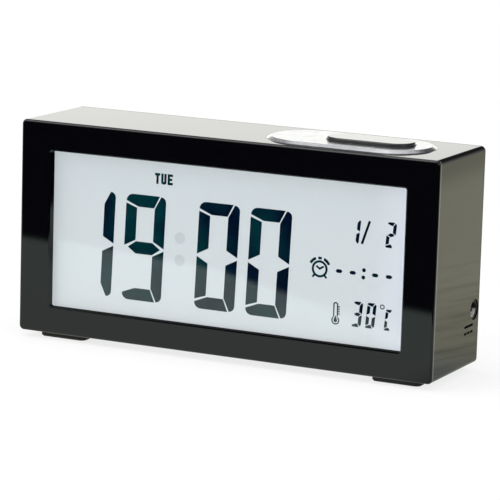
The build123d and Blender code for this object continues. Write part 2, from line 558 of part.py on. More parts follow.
# Back cover: rim and lip, with the battery bay, sounder ring, bosses and posts moulded in.
with BuildPart() as back_cover:
    with BuildSketch(facing_front(BACK_Y)):
        with Locations((0, MID_Z)):
            RectangleRounded(CASE_WIDTH, CASE_HEIGHT, CORNER_RADIUS)
    extrude(amount=COVER_DEPTH)
    fillet(back_cover.faces().sort_by(Axis.Y)[-1].edges(), BACK_EDGE_RADIUS)
    with BuildSketch(facing_front(SEAM_Y)):
        with Locations((0, MID_Z)):
            RectangleRounded(LIP_WIDTH, LIP_HEIGHT, INNER_CORNER)
    extrude(amount=LIP_LENGTH)
    with BuildSketch(facing_front(COVER_FLOOR_Y)):
        with Locations((0, MID_Z)):
            RectangleRounded(LIP_WIDTH - 2 * LIP_WALL, LIP_HEIGHT - 2 * LIP_WALL, INNER_CORNER)
    extrude(amount=COVER_FLOOR_Y - LIP_END_Y, mode=Mode.SUBTRACT)
    # Bosses meet the front half's columns inside the lip.
    with BuildSketch(facing_front(COVER_FLOOR_Y)):
        with Locations(*COLUMN_PLACES):
            Circle(COLUMN_RADIUS)
        with Locations((0, MID_Z)):
            RectangleRounded(LIP_WIDTH, LIP_HEIGHT, INNER_CORNER, mode=Mode.INTERSECT)
    extrude(amount=COVER_FLOOR_Y - COLUMN_END_Y)
    with BuildSketch(facing_front(BACK_Y)):
        with Locations(*COLUMN_PLACES):
            Circle(CASE_SCREW_RADIUS + SCREW_PLAY)
    extrude(amount=BACK_Y - COLUMN_END_Y, mode=Mode.SUBTRACT)
    with BuildSketch(facing_front(BACK_Y)):
        with Locations(*COLUMN_PLACES):
            Circle(CASE_SCREW_HEAD + SCREW_PLAY)
    extrude(amount=HEAD_POCKET, mode=Mode.SUBTRACT)
    # Battery bay, with cradle ribs between the cells and a ledge that the door closes on.
    with BuildSketch(facing_front(COVER_FLOOR_Y)):
        with Locations((0, BAY_Z)):
            Rectangle(BAY_LENGTH + 2 * BAY_WALL, BAY_HEIGHT + 2 * BAY_WALL)
    extrude(amount=COVER_FLOOR_Y - BAY_FLOOR_Y + BAY_WALL)
    with BuildSketch(facing_front(BACK_Y)):
        with Locations((0, BAY_Z)):
            Rectangle(BAY_LENGTH, BAY_HEIGHT)
    extrude(amount=BACK_Y - BAY_FLOOR_Y, mode=Mode.SUBTRACT)
    for cradle_x in (-CRADLE_SPACING / 2, CRADLE_SPACING / 2):
        with BuildSketch(Plane.YZ.offset(cradle_x)):
            with Locations((BAY_FLOOR_Y + CRADLE_HEIGHT / 2, BAY_Z)):
                Rectangle(CRADLE_HEIGHT, BAY_HEIGHT)
            with Locations(*[(CELL_Y, z) for z in CELL_HEIGHTS]):
                Circle(CELL_RADIUS + CELL_CLEARANCE / 2, mode=Mode.SUBTRACT)
        extrude(amount=CRADLE_THICKNESS / 2, both=True)
    with BuildSketch(facing_front(BACK_Y)):
        with Locations((0, BAY_Z)):
            RectangleRounded(
                DOOR_WIDTH + 2 * DOOR_CLEARANCE,
                DOOR_HEIGHT + 2 * DOOR_CLEARANCE,
                DOOR_CORNER + DOOR_CLEARANCE,
            )
    extrude(amount=BACK_Y - DOOR_LEDGE_Y, mode=Mode.SUBTRACT)
    with BuildSketch(facing_front(BACK_Y)):
        with Locations((0, DOOR_TOP)):
            Circle(THUMB_RADIUS)
    extrude(amount=THUMB_DEPTH, mode=Mode.SUBTRACT)
    # Slots in the bay's lower wall let the door's tabs swing.
    with BuildSketch(facing_front(DOOR_LEDGE_Y)):
        with Locations((0, (DOOR_BOTTOM - DOOR_CLEARANCE + PIVOT_Z + TAB_SWEEP) / 2)):
            with GridLocations(TAB_SPACING, 1, 2, 1):
                Rectangle(TAB_WIDTH + 2 * TAB_PLAY, PIVOT_Z + TAB_SWEEP - DOOR_BOTTOM + DOOR_CLEARANCE)
    extrude(amount=DOOR_LEDGE_Y - PIVOT_Y + TAB_SWEEP, mode=Mode.SUBTRACT)
    # Solder tails leave the bay through slits at both ends.
    with BuildSketch(Plane.YZ.offset(-BAY_END_X)):
        with Locations((CELL_Y, CELL_HEIGHTS[0])):
            Rectangle(CONTACT_THICKNESS + 2 * TAIL_CLEARANCE, TAIL_WIDTH + 2 * TAIL_CLEARANCE)
    extrude(amount=-BAY_WALL, mode=Mode.SUBTRACT)
    with BuildSketch(Plane.YZ.offset(BAY_END_X)):
        with Locations((CELL_Y, CELL_HEIGHTS[-1])):
            Rectangle(CONTACT_THICKNESS + 2 * TAIL_CLEARANCE, TAIL_WIDTH + 2 * TAIL_CLEARANCE)
    extrude(amount=BAY_WALL, mode=Mode.SUBTRACT)
    # Sounder ring with the ledge that the disc lies on, and sound holes through the wall.
    with BuildSketch(facing_front(COVER_FLOOR_Y)):
        with Locations((SOUNDER_X, SOUNDER_Z)):
            Circle(SOUNDER_RING_RADIUS)
            Circle(SOUNDER_RADIUS - SOUNDER_LEDGE, mode=Mode.SUBTRACT)
    extrude(amount=SOUNDER_RING_DEPTH)
    with BuildSketch(facing_front(SOUNDER_SEAT_Y)):
        with Locations((SOUNDER_X, SOUNDER_Z)):
            Circle(SOUNDER_RADIUS + SOUNDER_CLEARANCE)
    extrude(amount=SOUNDER_RING_DEPTH, mode=Mode.SUBTRACT)
    with BuildSketch(facing_front(BACK_Y)):
        with Locations((SOUNDER_X, SOUNDER_Z)):
            Circle(SOUND_HOLE_RADIUS)
            with PolarLocations(SOUND_HOLE_CIRCLE, 6):
                Circle(SOUND_HOLE_RADIUS)
            with PolarLocations(2 * SOUND_HOLE_CIRCLE, 12):
                Circle(SOUND_HOLE_RADIUS)
    extrude(amount=BACK_WALL, mode=Mode.SUBTRACT)
    # Control pocket, with the buttons' holes and the slide switch's slot in its floor.
    with BuildSketch(facing_front(BACK_Y)):
        with Locations((0, BUTTON_Z)):
            RectangleRounded(CONTROL_POCKET_LENGTH, CONTROL_POCKET_HEIGHT, CONTROL_POCKET_CORNER)
    extrude(amount=CONTROL_POCKET, mode=Mode.SUBTRACT)
    with BuildSketch(facing_front(BACK_Y)):
        with Locations(*BUTTON_PLACES):
            Circle(BUTTON_RADIUS + BUTTON_CLEARANCE)
        with Locations((SLIDE_X, BUTTON_Z)):
            Rectangle(SLIDE_SLOT, KNOB_WIDTH + 2 * SLIDE_CLEARANCE)
    extrude(amount=BACK_WALL, mode=Mode.SUBTRACT)
    # Posts for the rear board, and the other half of the socket's hole.
    with BuildSketch(facing_front(COVER_FLOOR_Y)):
        with Locations(*REAR_POSTS):
            Circle(REAR_POST_RADIUS)
    extrude(amount=COVER_FLOOR_Y - REAR_BOARD_BACK_Y)
    with BuildSketch(facing_front(REAR_BOARD_BACK_Y)):
        with Locations(*REAR_POSTS):
            Circle(BOARD_SCREW_RADIUS + SCREW_CLEARANCE)
    extrude(amount=-BOARD_SCREW_LENGTH, mode=Mode.SUBTRACT)
    with BuildSketch(Plane.YZ.offset(SIDE_X)):
        with Locations((SOCKET_Y, SOCKET_Z)):
            Circle(SOCKET_HOLE_RADIUS)
    extrude(amount=-(SIDE_X - SOCKET_FACE_X), mode=Mode.SUBTRACT)
    # A thinner patch of wall makes room behind the socket's block.
    with BuildSketch(Plane.YZ.offset(SOCKET_FACE_X)):
        with Locations((COVER_FLOOR_Y, SOCKET_Z)):
            Rectangle(2 * SOCKET_RELIEF, SOCKET_WIDTH + 2 * SOCKET_SIDE_GAP)
    extrude(amount=-(SOCKET_LENGTH + SOCKET_SIDE_GAP), mode=Mode.SUBTRACT)
keep(back_cover, "back_cover")

# Rubber feet, glued into their seats.
for foot_name, foot_place in FOOT_PLACES.items():
    with BuildPart() as foot:
        with BuildSketch(Plane.XY):
            with Locations(foot_place):
                RectangleRounded(FOOT_LENGTH, FOOT_WIDTH, FOOT_CORNER)
        extrude(amount=FOOT_HEIGHT + FOOT_POCKET)
        chamfer(foot.faces().sort_by(Axis.Z)[0].edges(), FOOT_CHAMFER)
    keep(foot, foot_name)

# Battery door: a flush panel that swings on two tabs behind its lower edge, with a thumb latch on top.
with BuildPart() as battery_door:
    with BuildSketch(facing_front(BACK_Y)):
        with Locations((0, BAY_Z)):
            RectangleRounded(DOOR_WIDTH, DOOR_HEIGHT, DOOR_CORNER)
        with Locations((-LATCH_WIDTH / 2, DOOR_TOP), (LATCH_WIDTH / 2, DOOR_TOP)):
            Rectangle(LATCH_SLIT, 2 * LATCH_LENGTH, mode=Mode.SUBTRACT)
    extrude(amount=DOOR_THICKNESS)
    # The lower edge is round about the line that the door turns on.
    with BuildSketch(Plane.YZ):
        with Locations((PIVOT_Y, PIVOT_Z)):
            Rectangle(DOOR_THICKNESS, 2 * DOOR_THICKNESS, align=(Align.CENTER, Align.MAX))
            Circle(DOOR_THICKNESS / 2, mode=Mode.SUBTRACT)
    extrude(amount=DOOR_WIDTH / 2, both=True, mode=Mode.SUBTRACT)
    with BuildSketch(Plane.YZ):
        with BuildLine():
            Polyline(
                (PIVOT_Y, PIVOT_Z),
                (PIVOT_Y, TAB_TOP_Z),
                (TAB_FRONT_Y, TAB_TOP_Z),
                (TAB_FRONT_Y, TAB_TIP_Z),
                (TAB_BACK_Y, TAB_TIP_Z),
                (TAB_BACK_Y, PIVOT_Z),
                close=True,
            )
        make_face()
    tab_profile = extrude(amount=TAB_WIDTH / 2, both=True, mode=Mode.PRIVATE)
    with Locations((-TAB_SPACING / 2, 0, 0), (TAB_SPACING / 2, 0, 0)):
        add(tab_profile)
    with BuildSketch(facing_front(BACK_Y)):
        with Locations((0, DOOR_TOP - LATCH_LENGTH / 2)):
            with GridLocations(1, LATCH_GRIP_PITCH, 1, LATCH_GRIPS):
                Rectangle(LATCH_WIDTH - 4 * LATCH_SLIT, LATCH_GRIP_PITCH / 2)
    extrude(amount=LATCH_GRIP_DEPTH, mode=Mode.SUBTRACT)
keep(battery_door, "battery_door")

cross_screws(
    "case_screws",
    facing_front(HEAD_SEAT_Y),
    -1,
    COLUMN_PLACES,
    CASE_SCREW_HEAD,
    HEAD_HEIGHT,
    CASE_SCREW_RADIUS,
    CASE_SCREW_LENGTH,
)

# Display: lens against the window wall, two glasses, the light guide and its reflector.
slab(
    "display_lens",
    LENS_BACK_Y,
    LENS_THICKNESS,
    WINDOW_WIDTH + 2 * LENS_OVERLAP,
    WINDOW_HEIGHT + 2 * LENS_OVERLAP,
    WINDOW_Z,
    WINDOW_CORNER,
)
slab(
    "lcd_front_glass",
    FRONT_GLASS_BACK_Y,
    GLASS_THICKNESS,
    GLASS_WIDTH,
    GLASS_HEIGHT + GLASS_LEDGE,
    HOLDER_Z,
)
slab("lcd_rear_glass", REAR_GLASS_BACK_Y, GLASS_THICKNESS, GLASS_WIDTH, GLASS_HEIGHT, WINDOW_Z)
slab("light_guide", GUIDE_BACK_Y, GUIDE_THICKNESS, GUIDE_WIDTH, GLASS_HEIGHT, WINDOW_Z)
slab("light_reflector", REFLECTOR_BACK_Y, REFLECTOR_THICKNESS, GUIDE_WIDTH, GLASS_HEIGHT, WINDOW_Z)

# Holder round the display, with ribs that keep the reflector off the board.
with BuildPart() as display_holder:
    with BuildSketch(facing_front(BOARD_Y)):
        with Locations((0, HOLDER_Z)):
            Rectangle(HOLDER_WIDTH, HOLDER_HEIGHT)
            Rectangle(HOLDER_INNER_WIDTH, HOLDER_INNER_HEIGHT, mode=Mode.SUBTRACT)
    extrude(amount=BOARD_Y - LENS_BACK_Y)
    with BuildSketch(facing_front(BOARD_Y)):
        with Locations((0, WINDOW_Z)):
            with GridLocations(1, GLASS_HEIGHT - RIB_WIDTH, 1, 2):
                Rectangle(HOLDER_INNER_WIDTH, RIB_WIDTH)
            with GridLocations(GUIDE_WIDTH / 3, 1, 2, 1):
                Rectangle(RIB_WIDTH, GLASS_HEIGHT)
    extrude(amount=RIB_DEPTH)
keep(display_holder, "display_holder")

# Contact strip from the front glass's ledge to the board.
slab(
    "contact_strip",
    BOARD_Y,
    BOARD_Y - FRONT_GLASS_BACK_Y,
    GLASS_WIDTH - 2 * STRIP_END_INSET,
    STRIP_WIDTH,
    GLASS_BOTTOM - GLASS_LEDGE / 2,
)

# Each lamp looks into the edge of the guide, clear of the holder's ribs.
with BuildPart() as backlight_lamps:
    with BuildSketch(facing_front(BOARD_Y)):
        with Locations((0, WINDOW_Z)):
            with GridLocations(GLASS_WIDTH - LAMP_WIDTH, LAMP_SPACING, 2, 2):
                Rectangle(LAMP_WIDTH, LAMP_LENGTH)
    extrude(amount=BOARD_Y - GUIDE_Y - FILM_GAP)
keep(backlight_lamps, "backlight_lamps")

# Main board, notched round the screw columns.
with BuildPart() as main_board:
    with BuildSketch(facing_front(BOARD_BACK_Y)):
        with Locations((0, (INNER_BOTTOM + BOARD_BOTTOM_GAP + INNER_TOP - BOARD_TOP_GAP) / 2)):
            Rectangle(INNER_WIDTH - 2 * BOARD_EDGE, INNER_HEIGHT - BOARD_BOTTOM_GAP - BOARD_TOP_GAP)
        with Locations(*NOTCH_PLACES):
            Rectangle(4 * NOTCH_REACH, 4 * NOTCH_REACH, mode=Mode.SUBTRACT)
        with Locations(*POST_PLACES):
            Circle(BOARD_SCREW_RADIUS + SCREW_PLAY, mode=Mode.SUBTRACT)
    extrude(amount=BOARD_THICKNESS)
keep(main_board, "main_board")

cross_screws(
    "main_board_screws",
    facing_front(BOARD_BACK_Y),
    -1,
    POST_PLACES,
    BOARD_SCREW_HEAD,
    BOARD_SCREW_HEIGHT,
    BOARD_SCREW_RADIUS,
    BOARD_SCREW_LENGTH,
)

# Clock chip under its drop of resin: a low cap of a sphere.
with BuildPart() as clock_chip:
    with BuildSketch(Plane.YZ.offset(CHIP_X)):
        with BuildLine():
            chip_rim = (BOARD_BACK_Y, CHIP_Z + CHIP_RADIUS)
            chip_top = (BOARD_BACK_Y + CHIP_HEIGHT, CHIP_Z)
            Line((BOARD_BACK_Y, CHIP_Z), chip_rim)
            RadiusArc(chip_rim, chip_top, CHIP_SPHERE)
            Line(chip_top, (BOARD_BACK_Y, CHIP_Z))
        make_face()
    revolve(axis=Axis((CHIP_X, BOARD_BACK_Y, CHIP_Z), (0, 1, 0)))
keep(clock_chip, "clock_chip")

# Quartz crystal can, lying on the board.
with BuildPart() as quartz_crystal:
    with BuildSketch(Plane.YZ.offset(CRYSTAL_X)):
        with Locations((BOARD_BACK_Y + CRYSTAL_RADIUS, CRYSTAL_Z)):
            Circle(CRYSTAL_RADIUS)
    extrude(amount=CRYSTAL_LENGTH)
    fillet(quartz_crystal.faces().sort_by(Axis.X)[-1].edges(), CRYSTAL_RADIUS / 3)
keep(quartz_crystal, "quartz_crystal")

with BuildPart() as smoothing_capacitors:
    with BuildSketch(facing_front(BOARD_BACK_Y)):
        with Locations((CAPACITOR_X, CAPACITOR_Z)):
            with GridLocations(CAPACITOR_SPACING, 1, 2, 1):
                Circle(CAPACITOR_RADIUS)
    extrude(amount=-CAPACITOR_HEIGHT)
    fillet(smoothing_capacitors.faces().filter_by(Axis.Y).group_by(Axis.Y)[-1].edges(), CAPACITOR_RADIUS / 5)
keep(smoothing_capacitors, "smoothing_capacitors")

# Temperature sensor: a bead on a short lead.
with BuildPart() as temperature_sensor:
    with BuildSketch(facing_front(BOARD_BACK_Y)):
        with Locations((SENSOR_X, SENSOR_Z)):
            Circle(SENSOR_RADIUS / 2)
    extrude(amount=-SENSOR_HEIGHT)
    with Locations((SENSOR_X, BOARD_BACK_Y + SENSOR_HEIGHT, SENSOR_Z)):
        Sphere(SENSOR_RADIUS)
keep(temperature_sensor, "temperature_sensor")

# Snooze trim: an oval frame with a bevelled rim, held by pegs through the case.
with BuildPart() as snooze_trim:
    with BuildSketch(Plane.XY.offset(TRIM_BASE_Z)):
        with Locations((TRIM_X, TRIM_Y)):
            SlotOverall(TRIM_LENGTH, TRIM_WIDTH)
    extrude(amount=TRIM_TOP_Z - TRIM_BASE_Z)
    rim_top = snooze_trim.faces().sort_by(Axis.Z)[-1]
    chamfer(rim_top.edges(), TRIM_BEVEL, TRIM_RISE, reference=rim_top)
    with BuildSketch(Plane.XY.offset(TRIM_TOP_Z)):
        with Locations((KEY_X, TRIM_Y)):
            SlotOverall(KEY_LENGTH + 2 * KEY_CLEARANCE, KEY_WIDTH + 2 * KEY_CLEARANCE)
    extrude(amount=TRIM_BASE_Z - TRIM_TOP_Z, mode=Mode.SUBTRACT)
    with BuildSketch(Plane.XY.offset(TRIM_BASE_Z)):
        with Locations(*TRIM_PEGS):
            Circle(TRIM_PEG_RADIUS)
    extrude(amount=-(WALL - TRIM_POCKET + TRIM_PEG_STAKE))
keep(snooze_trim, "snooze_trim")

# Snooze key: its flange hangs under the trim, and its post presses the dome.
with BuildPart() as snooze_key:
    with BuildSketch(Plane.XY.offset(FLANGE_BASE_Z)):
        with Locations((KEY_X, TRIM_Y)):
            SlotOverall(FLANGE_LENGTH, FLANGE_WIDTH)
    extrude(amount=KEY_FLANGE_THICKNESS)
    with BuildSketch(Plane.XY.offset(FLANGE_TOP_Z)):
        with Locations((KEY_X, TRIM_Y)):
            SlotOverall(KEY_LENGTH, KEY_WIDTH)
    extrude(amount=KEY_TOP_Z - FLANGE_TOP_Z)
    fillet(snooze_key.faces().sort_by(Axis.Z)[-1].edges(), KEY_EDGE)
    with BuildSketch(Plane.XY.offset(FLANGE_BASE_Z)):
        with Locations((KEY_X, TRIM_Y)):
            Circle(KEY_POST_RADIUS)
    extrude(amount=DOME_TOP_Z - FLANGE_BASE_Z)
keep(snooze_key, "snooze_key")

# Rubber dome between the key's post and the snooze board.
with BuildPart() as snooze_dome:
    with BuildSketch(facing_front(TRIM_Y)):
        with BuildLine():
            Polyline(
                (KEY_X, DOME_TOP_Z),
                (KEY_X + DOME_TOP_RADIUS, DOME_TOP_Z),
                (KEY_X + DOME_TOP_RADIUS, DOME_TOP_Z - DOME_WALL),
                (KEY_X + DOME_BASE_RADIUS - DOME_WALL, SNOOZE_BOARD_Z + DOME_WALL),
                (KEY_X + DOME_BASE_RADIUS, SNOOZE_BOARD_Z + DOME_WALL),
                (KEY_X + DOME_BASE_RADIUS, SNOOZE_BOARD_Z),
                (KEY_X + DOME_BASE_RADIUS - 2 * DOME_WALL, SNOOZE_BOARD_Z),
                (KEY_X + DOME_TOP_RADIUS - DOME_WALL, DOME_TOP_Z - 2 * DOME_WALL),
                (KEY_X, DOME_TOP_Z - 2 * DOME_WALL),
                close=True,
            )
        make_face()
    revolve(axis=Axis((KEY_X, TRIM_Y, 0), (0, 0, 1)))
keep(snooze_dome, "snooze_dome")

with BuildPart() as snooze_board:
    with BuildSketch(Plane.XY.offset(SNOOZE_BOARD_Z)):
        with Locations((KEY_X, TRIM_Y)):
            Rectangle(2 * (SNOOZE_POST_X + SNOOZE_BOARD_END), SNOOZE_BOARD_WIDTH)
        with Locations(*SNOOZE_POSTS):
            Circle(BOARD_SCREW_RADIUS + SCREW_PLAY, mode=Mode.SUBTRACT)
    extrude(amount=-REAR_BOARD_THICKNESS)
keep(snooze_board, "snooze_board")

cross_screws(
    "snooze_board_screws",
    Plane.XY.offset(SNOOZE_BOARD_Z - REAR_BOARD_THICKNESS),
    -1,
    SNOOZE_POSTS,
    BOARD_SCREW_HEAD,
    BOARD_SCREW_HEIGHT,
    BOARD_SCREW_RADIUS,
    REAR_BOARD_THICKNESS + SNOOZE_POST_LENGTH - SNOOZE_BOARD_GAP,
)

# Rear board: a strip behind the controls and a leg down to the socket.
with BuildPart() as rear_board:
    with BuildSketch(facing_front(REAR_BOARD_BACK_Y)):
        with BuildLine():
            Polyline(
                (REAR_BOARD_LEFT, REAR_BOARD_TOP),
                (REAR_BOARD_RIGHT, REAR_BOARD_TOP),
                (REAR_BOARD_RIGHT, REAR_LEG_BOTTOM),
                (REAR_LEG_LEFT, REAR_LEG_BOTTOM),
                (REAR_LEG_LEFT, REAR_STRIP_BOTTOM),
                (REAR_BOARD_LEFT, REAR_STRIP_BOTTOM),
                close=True,
            )
        make_face()
        with Locations(*REAR_POSTS):
            Circle(BOARD_SCREW_RADIUS + SCREW_PLAY, mode=Mode.SUBTRACT)
    extrude(amount=REAR_BOARD_THICKNESS)
keep(rear_board, "rear_board")

cross_screws(
    "rear_board_screws",
    facing_front(REAR_BOARD_Y),
    1,
    REAR_POSTS,
    BOARD_SCREW_HEAD,
    BOARD_SCREW_HEIGHT,
    BOARD_SCREW_RADIUS,
    BOARD_SCREW_LENGTH,
)

# Tactile switches on the rear board, with wells that their stems sink into.
with BuildPart() as button_switches:
    with BuildSketch(facing_front(REAR_BOARD_BACK_Y)):
        with Locations(*BUTTON_PLACES):
            Rectangle(SWITCH_SIZE, SWITCH_SIZE)
    extrude(amount=-SWITCH_HEIGHT)
    with BuildSketch(facing_front(REAR_BOARD_BACK_Y + SWITCH_HEIGHT)):
        with Locations(*BUTTON_PLACES):
            Circle(STEM_RADIUS + STEM_CLEARANCE)
    extrude(amount=SWITCH_BORE_DEPTH, mode=Mode.SUBTRACT)
keep(button_switches, "button_switches")

# Set buttons with the stems that they push.
for button_name, button_place in zip(BUTTON_NAMES, BUTTON_PLACES):
    with BuildPart() as button:
        with BuildSketch(facing_front(BUTTON_TOP_Y)):
            with Locations(button_place):
                Circle(BUTTON_RADIUS)
        extrude(amount=BUTTON_TOP_Y - STEM_TOP_Y)
        fillet(button.faces().sort_by(Axis.Y)[-1].edges(), BUTTON_EDGE)
        with BuildSketch(facing_front(BUTTON_FLANGE_Y)):
            with Locations(button_place):
                Circle(BUTTON_RADIUS + BUTTON_FLANGE)
        extrude(amount=BUTTON_FLANGE_THICKNESS)
    keep(button, f"{button_name}_button")
    with BuildPart() as stem:
        with BuildSketch(facing_front(STEM_TOP_Y)):
            with Locations(button_place):
                Circle(STEM_RADIUS)
        extrude(amount=STEM_RISE + STEM_HIDDEN)
    keep(stem, f"{button_name}_switch_stem")

# Alarm slide switch: a can with a well, and the knob that reaches out through the cover.
with BuildPart() as alarm_switch:
    with BuildSketch(facing_front(REAR_BOARD_BACK_Y)):
        with Locations((SLIDE_X, BUTTON_Z)):
            Rectangle(SLIDE_LENGTH, SLIDE_WIDTH)
    extrude(amount=-SLIDE_HEIGHT)
    with BuildSketch(facing_front(REAR_BOARD_BACK_Y + SLIDE_HEIGHT)):
        with Locations((SLIDE_X, BUTTON_Z)):
            Rectangle(SLIDE_SLOT, KNOB_WIDTH + 2 * SLIDE_CLEARANCE)
    extrude(amount=SLIDE_WELL, mode=Mode.SUBTRACT)
keep(alarm_switch, "alarm_switch")

with BuildPart() as alarm_knob:
    with BuildSketch(facing_front(BACK_Y - KNOB_SINK)):
        with Locations((KNOB_X, BUTTON_Z)):
            Rectangle(KNOB_LENGTH, KNOB_WIDTH)
    extrude(amount=BACK_Y - KNOB_SINK - KNOB_ROOT_Y)
    with BuildSketch(facing_front(BACK_Y - KNOB_SINK)):
        with Locations((KNOB_X, BUTTON_Z)):
            with GridLocations(KNOB_LENGTH / 3, 1, 2, 1):
                Rectangle(KNOB_GROOVE, KNOB_WIDTH)
    extrude(amount=KNOB_GROOVE, mode=Mode.SUBTRACT)
keep(alarm_knob, "alarm_knob")

# DC socket: a block on the rear board with a round nose in the case's hole.
with BuildPart() as socket_body:
    with BuildSketch(Plane.YZ.offset(SOCKET_FACE_X)):
        with Locations(((REAR_BOARD_BACK_Y + SOCKET_REAR_Y) / 2, SOCKET_Z)):
            Rectangle(SOCKET_REAR_Y - REAR_BOARD_BACK_Y, SOCKET_WIDTH)
    extrude(amount=-SOCKET_LENGTH)
    with BuildSketch(Plane.YZ.offset(SOCKET_FACE_X)):
        with Locations((SOCKET_Y, SOCKET_Z)):
            Circle(SOCKET_NOSE_RADIUS)
    extrude(amount=SOCKET_NOSE_X - SOCKET_FACE_X)
    with BuildSketch(Plane.YZ.offset(SOCKET_NOSE_X)):
        with Locations((SOCKET_Y, SOCKET_Z)):
            Circle(SOCKET_BORE_RADIUS)
    extrude(amount=-SOCKET_BORE_DEPTH, mode=Mode.SUBTRACT)
    with BuildSketch(Plane.YZ.offset(SOCKET_NOSE_X - SOCKET_BORE_DEPTH)):
        with Locations((SOCKET_Y, SOCKET_Z)):
            Circle(SOCKET_PIN_ROOT_RADIUS)
    extrude(amount=-SOCKET_PIN_ROOT, mode=Mode.SUBTRACT)
keep(socket_body, "socket_body")

with BuildPart() as socket_pin:
    with BuildSketch(Plane.YZ.offset(SOCKET_NOSE_X - SOCKET_PIN_RECESS)):
        with Locations((SOCKET_Y, SOCKET_Z)):
            Circle(SOCKET_PIN_RADIUS)
    extrude(amount=-(SOCKET_BORE_DEPTH - SOCKET_PIN_RECESS))
    fillet(socket_pin.faces().sort_by(Axis.X)[-1].edges(), SOCKET_PIN_RADIUS / 2)
    with BuildSketch(Plane.YZ.offset(SOCKET_NOSE_X - SOCKET_BORE_DEPTH)):
        with Locations((SOCKET_Y, SOCKET_Z)):
            Circle(SOCKET_PIN_ROOT_RADIUS)
    extrude(amount=-SOCKET_PIN_ROOT)
keep(socket_pin, "socket_pin")

# Rolled contact sleeve that lines the socket's bore, with its slit at the top.
with BuildPart() as socket_sleeve:
    with BuildSketch(Plane.YZ.offset(SOCKET_NOSE_X - SOCKET_SLEEVE_RECESS)):
        with Locations((SOCKET_Y, SOCKET_Z)):
            Circle(SOCKET_BORE_RADIUS)
            Circle(SOCKET_BORE_RADIUS - SOCKET_SLEEVE_WALL, mode=Mode.SUBTRACT)
        with Locations((SOCKET_Y, SOCKET_Z + SOCKET_BORE_RADIUS)):
            Rectangle(SOCKET_SLEEVE_SLIT, SOCKET_BORE_RADIUS, mode=Mode.SUBTRACT)
    extrude(amount=-SOCKET_SLEEVE_LENGTH)
keep(socket_sleeve, "socket_sleeve")

# Sounder: a brass disc on its ledge, with the ceramic element on its inner face.
with BuildPart() as sounder_disc:
    with BuildSketch(facing_front(SOUNDER_SEAT_Y)):
        with Locations((SOUNDER_X, SOUNDER_Z)):
            Circle(SOUNDER_RADIUS)
    extrude(amount=SOUNDER_DISC)
keep(sounder_disc, "sounder_disc")

with BuildPart() as sounder_element:
    with BuildSketch(facing_front(SOUNDER_SEAT_Y - SOUNDER_DISC)):
        with Locations((SOUNDER_X, SOUNDER_Z)):
            Circle(SOUNDER_RADIUS - SOUNDER_RIM)
    extrude(amount=SOUNDER_ELEMENT)
keep(sounder_element, "sounder_element")

# Cells, each a can with its nub, turned end for end by turns.
for cell_index, cell_z in enumerate(CELL_HEIGHTS):
    cell_way = 1 if cell_index % 2 == 0 else -1
    cell_tip = cell_way * (BAY_END_X - CONTACT_THICKNESS - CONTACT_DIMPLE)
    with BuildPart() as cell:
        with BuildSketch(Plane.YZ.offset(cell_tip - cell_way * CELL_NUB)):
            with Locations((CELL_Y, cell_z)):
                Circle(CELL_RADIUS)
        extrude(amount=-cell_way * CELL_LENGTH)
        fillet(cell.edges().filter_by(GeomType.CIRCLE), CELL_EDGE)
        with BuildSketch(Plane.YZ.offset(cell_tip)):
            with Locations((CELL_Y, cell_z)):
                Circle(CELL_NUB_RADIUS)
        extrude(amount=-cell_way * CELL_NUB)
    keep(cell, f"battery_{cell_index + 1}")


def spring_arcs(base, way):
    """Tangent arcs, two to a quarter turn, along a coil that narrows from a contact to its tip."""
    quarters = 4 * SPRING_TURNS
    narrowing = SPRING_BASE_RADIUS - SPRING_TIP_RADIUS
    points = []
    tangents = []
    for step in range(quarters + 1):
        share = step / quarters
        radius = SPRING_BASE_RADIUS - narrowing * share
        angle = step * pi / 2
        points.append(base + Vector(way * SPRING_RUN * share, radius * cos(angle), radius * sin(angle)))
        slope = Vector(
            way * SPRING_RUN / (2 * pi * SPRING_TURNS),
            -radius * sin(angle) - narrowing / (2 * pi * SPRING_TURNS) * cos(angle),
            radius * cos(angle) - narrowing / (2 * pi * SPRING_TURNS) * sin(angle),
        )
        tangents.append(slope.normalized())
    for start, end, leave, arrive in zip(points, points[1:], tangents, tangents[1:]):
        chord = end - start
        both = leave + arrive
        bend = 2 * (1 - leave.dot(arrive))
        along = chord.dot(both)
        reach = (sqrt(along * along + bend * chord.dot(chord)) - along) / bend
        middle = (start + end + (leave - arrive) * reach) * 0.5
        turn = (end - arrive * reach) - (start + leave * reach)
        TangentArc(start, middle, tangent=leave)
        TangentArc(middle, end, tangent=turn)


def contact(name, way, spring_z=None, dimple_z=None, tail_z=None):
    """A battery contact on one end wall: plate, spring for a base, dimple for a nub, solder tail."""
    ends = [z for z in (spring_z, dimple_z) if z is not None]
    face_x = way * (BAY_END_X - CONTACT_THICKNESS)
    with BuildPart() as plate:
        with BuildSketch(Plane.YZ.offset(face_x)):
            with Locations((CELL_Y, (min(ends) + max(ends)) / 2)):
                Rectangle(CONTACT_WIDTH, max(ends) - min(ends) + CONTACT_WIDTH)
        extrude(amount=way * CONTACT_THICKNESS)
        if dimple_z is not None:
            with BuildSketch(Plane.YZ.offset(face_x)):
                with Locations((CELL_Y, dimple_z)):
                    Circle(CONTACT_DIMPLE_RADIUS)
            extrude(amount=-way * CONTACT_DIMPLE)
        if tail_z is not None:
            with BuildSketch(Plane.YZ.offset(way * BAY_END_X)):
                with Locations((CELL_Y, tail_z)):
                    Rectangle(CONTACT_THICKNESS, TAIL_WIDTH)
            extrude(amount=way * (BAY_WALL + TAIL_LENGTH))
    keep(plate, name)
    if spring_z is not None:
        base = Vector(face_x - way * (SPRING_WIRE_RADIUS + SPRING_GAP), CELL_Y, spring_z)
        with BuildPart() as spring:
            with BuildLine() as coil:
                spring_arcs(base, -way)
            with BuildSketch(Plane(coil.line @ 0, z_dir=coil.line % 0)):
                Circle(SPRING_WIRE_RADIUS)
            sweep()
        keep(spring, f"{name}_spring")


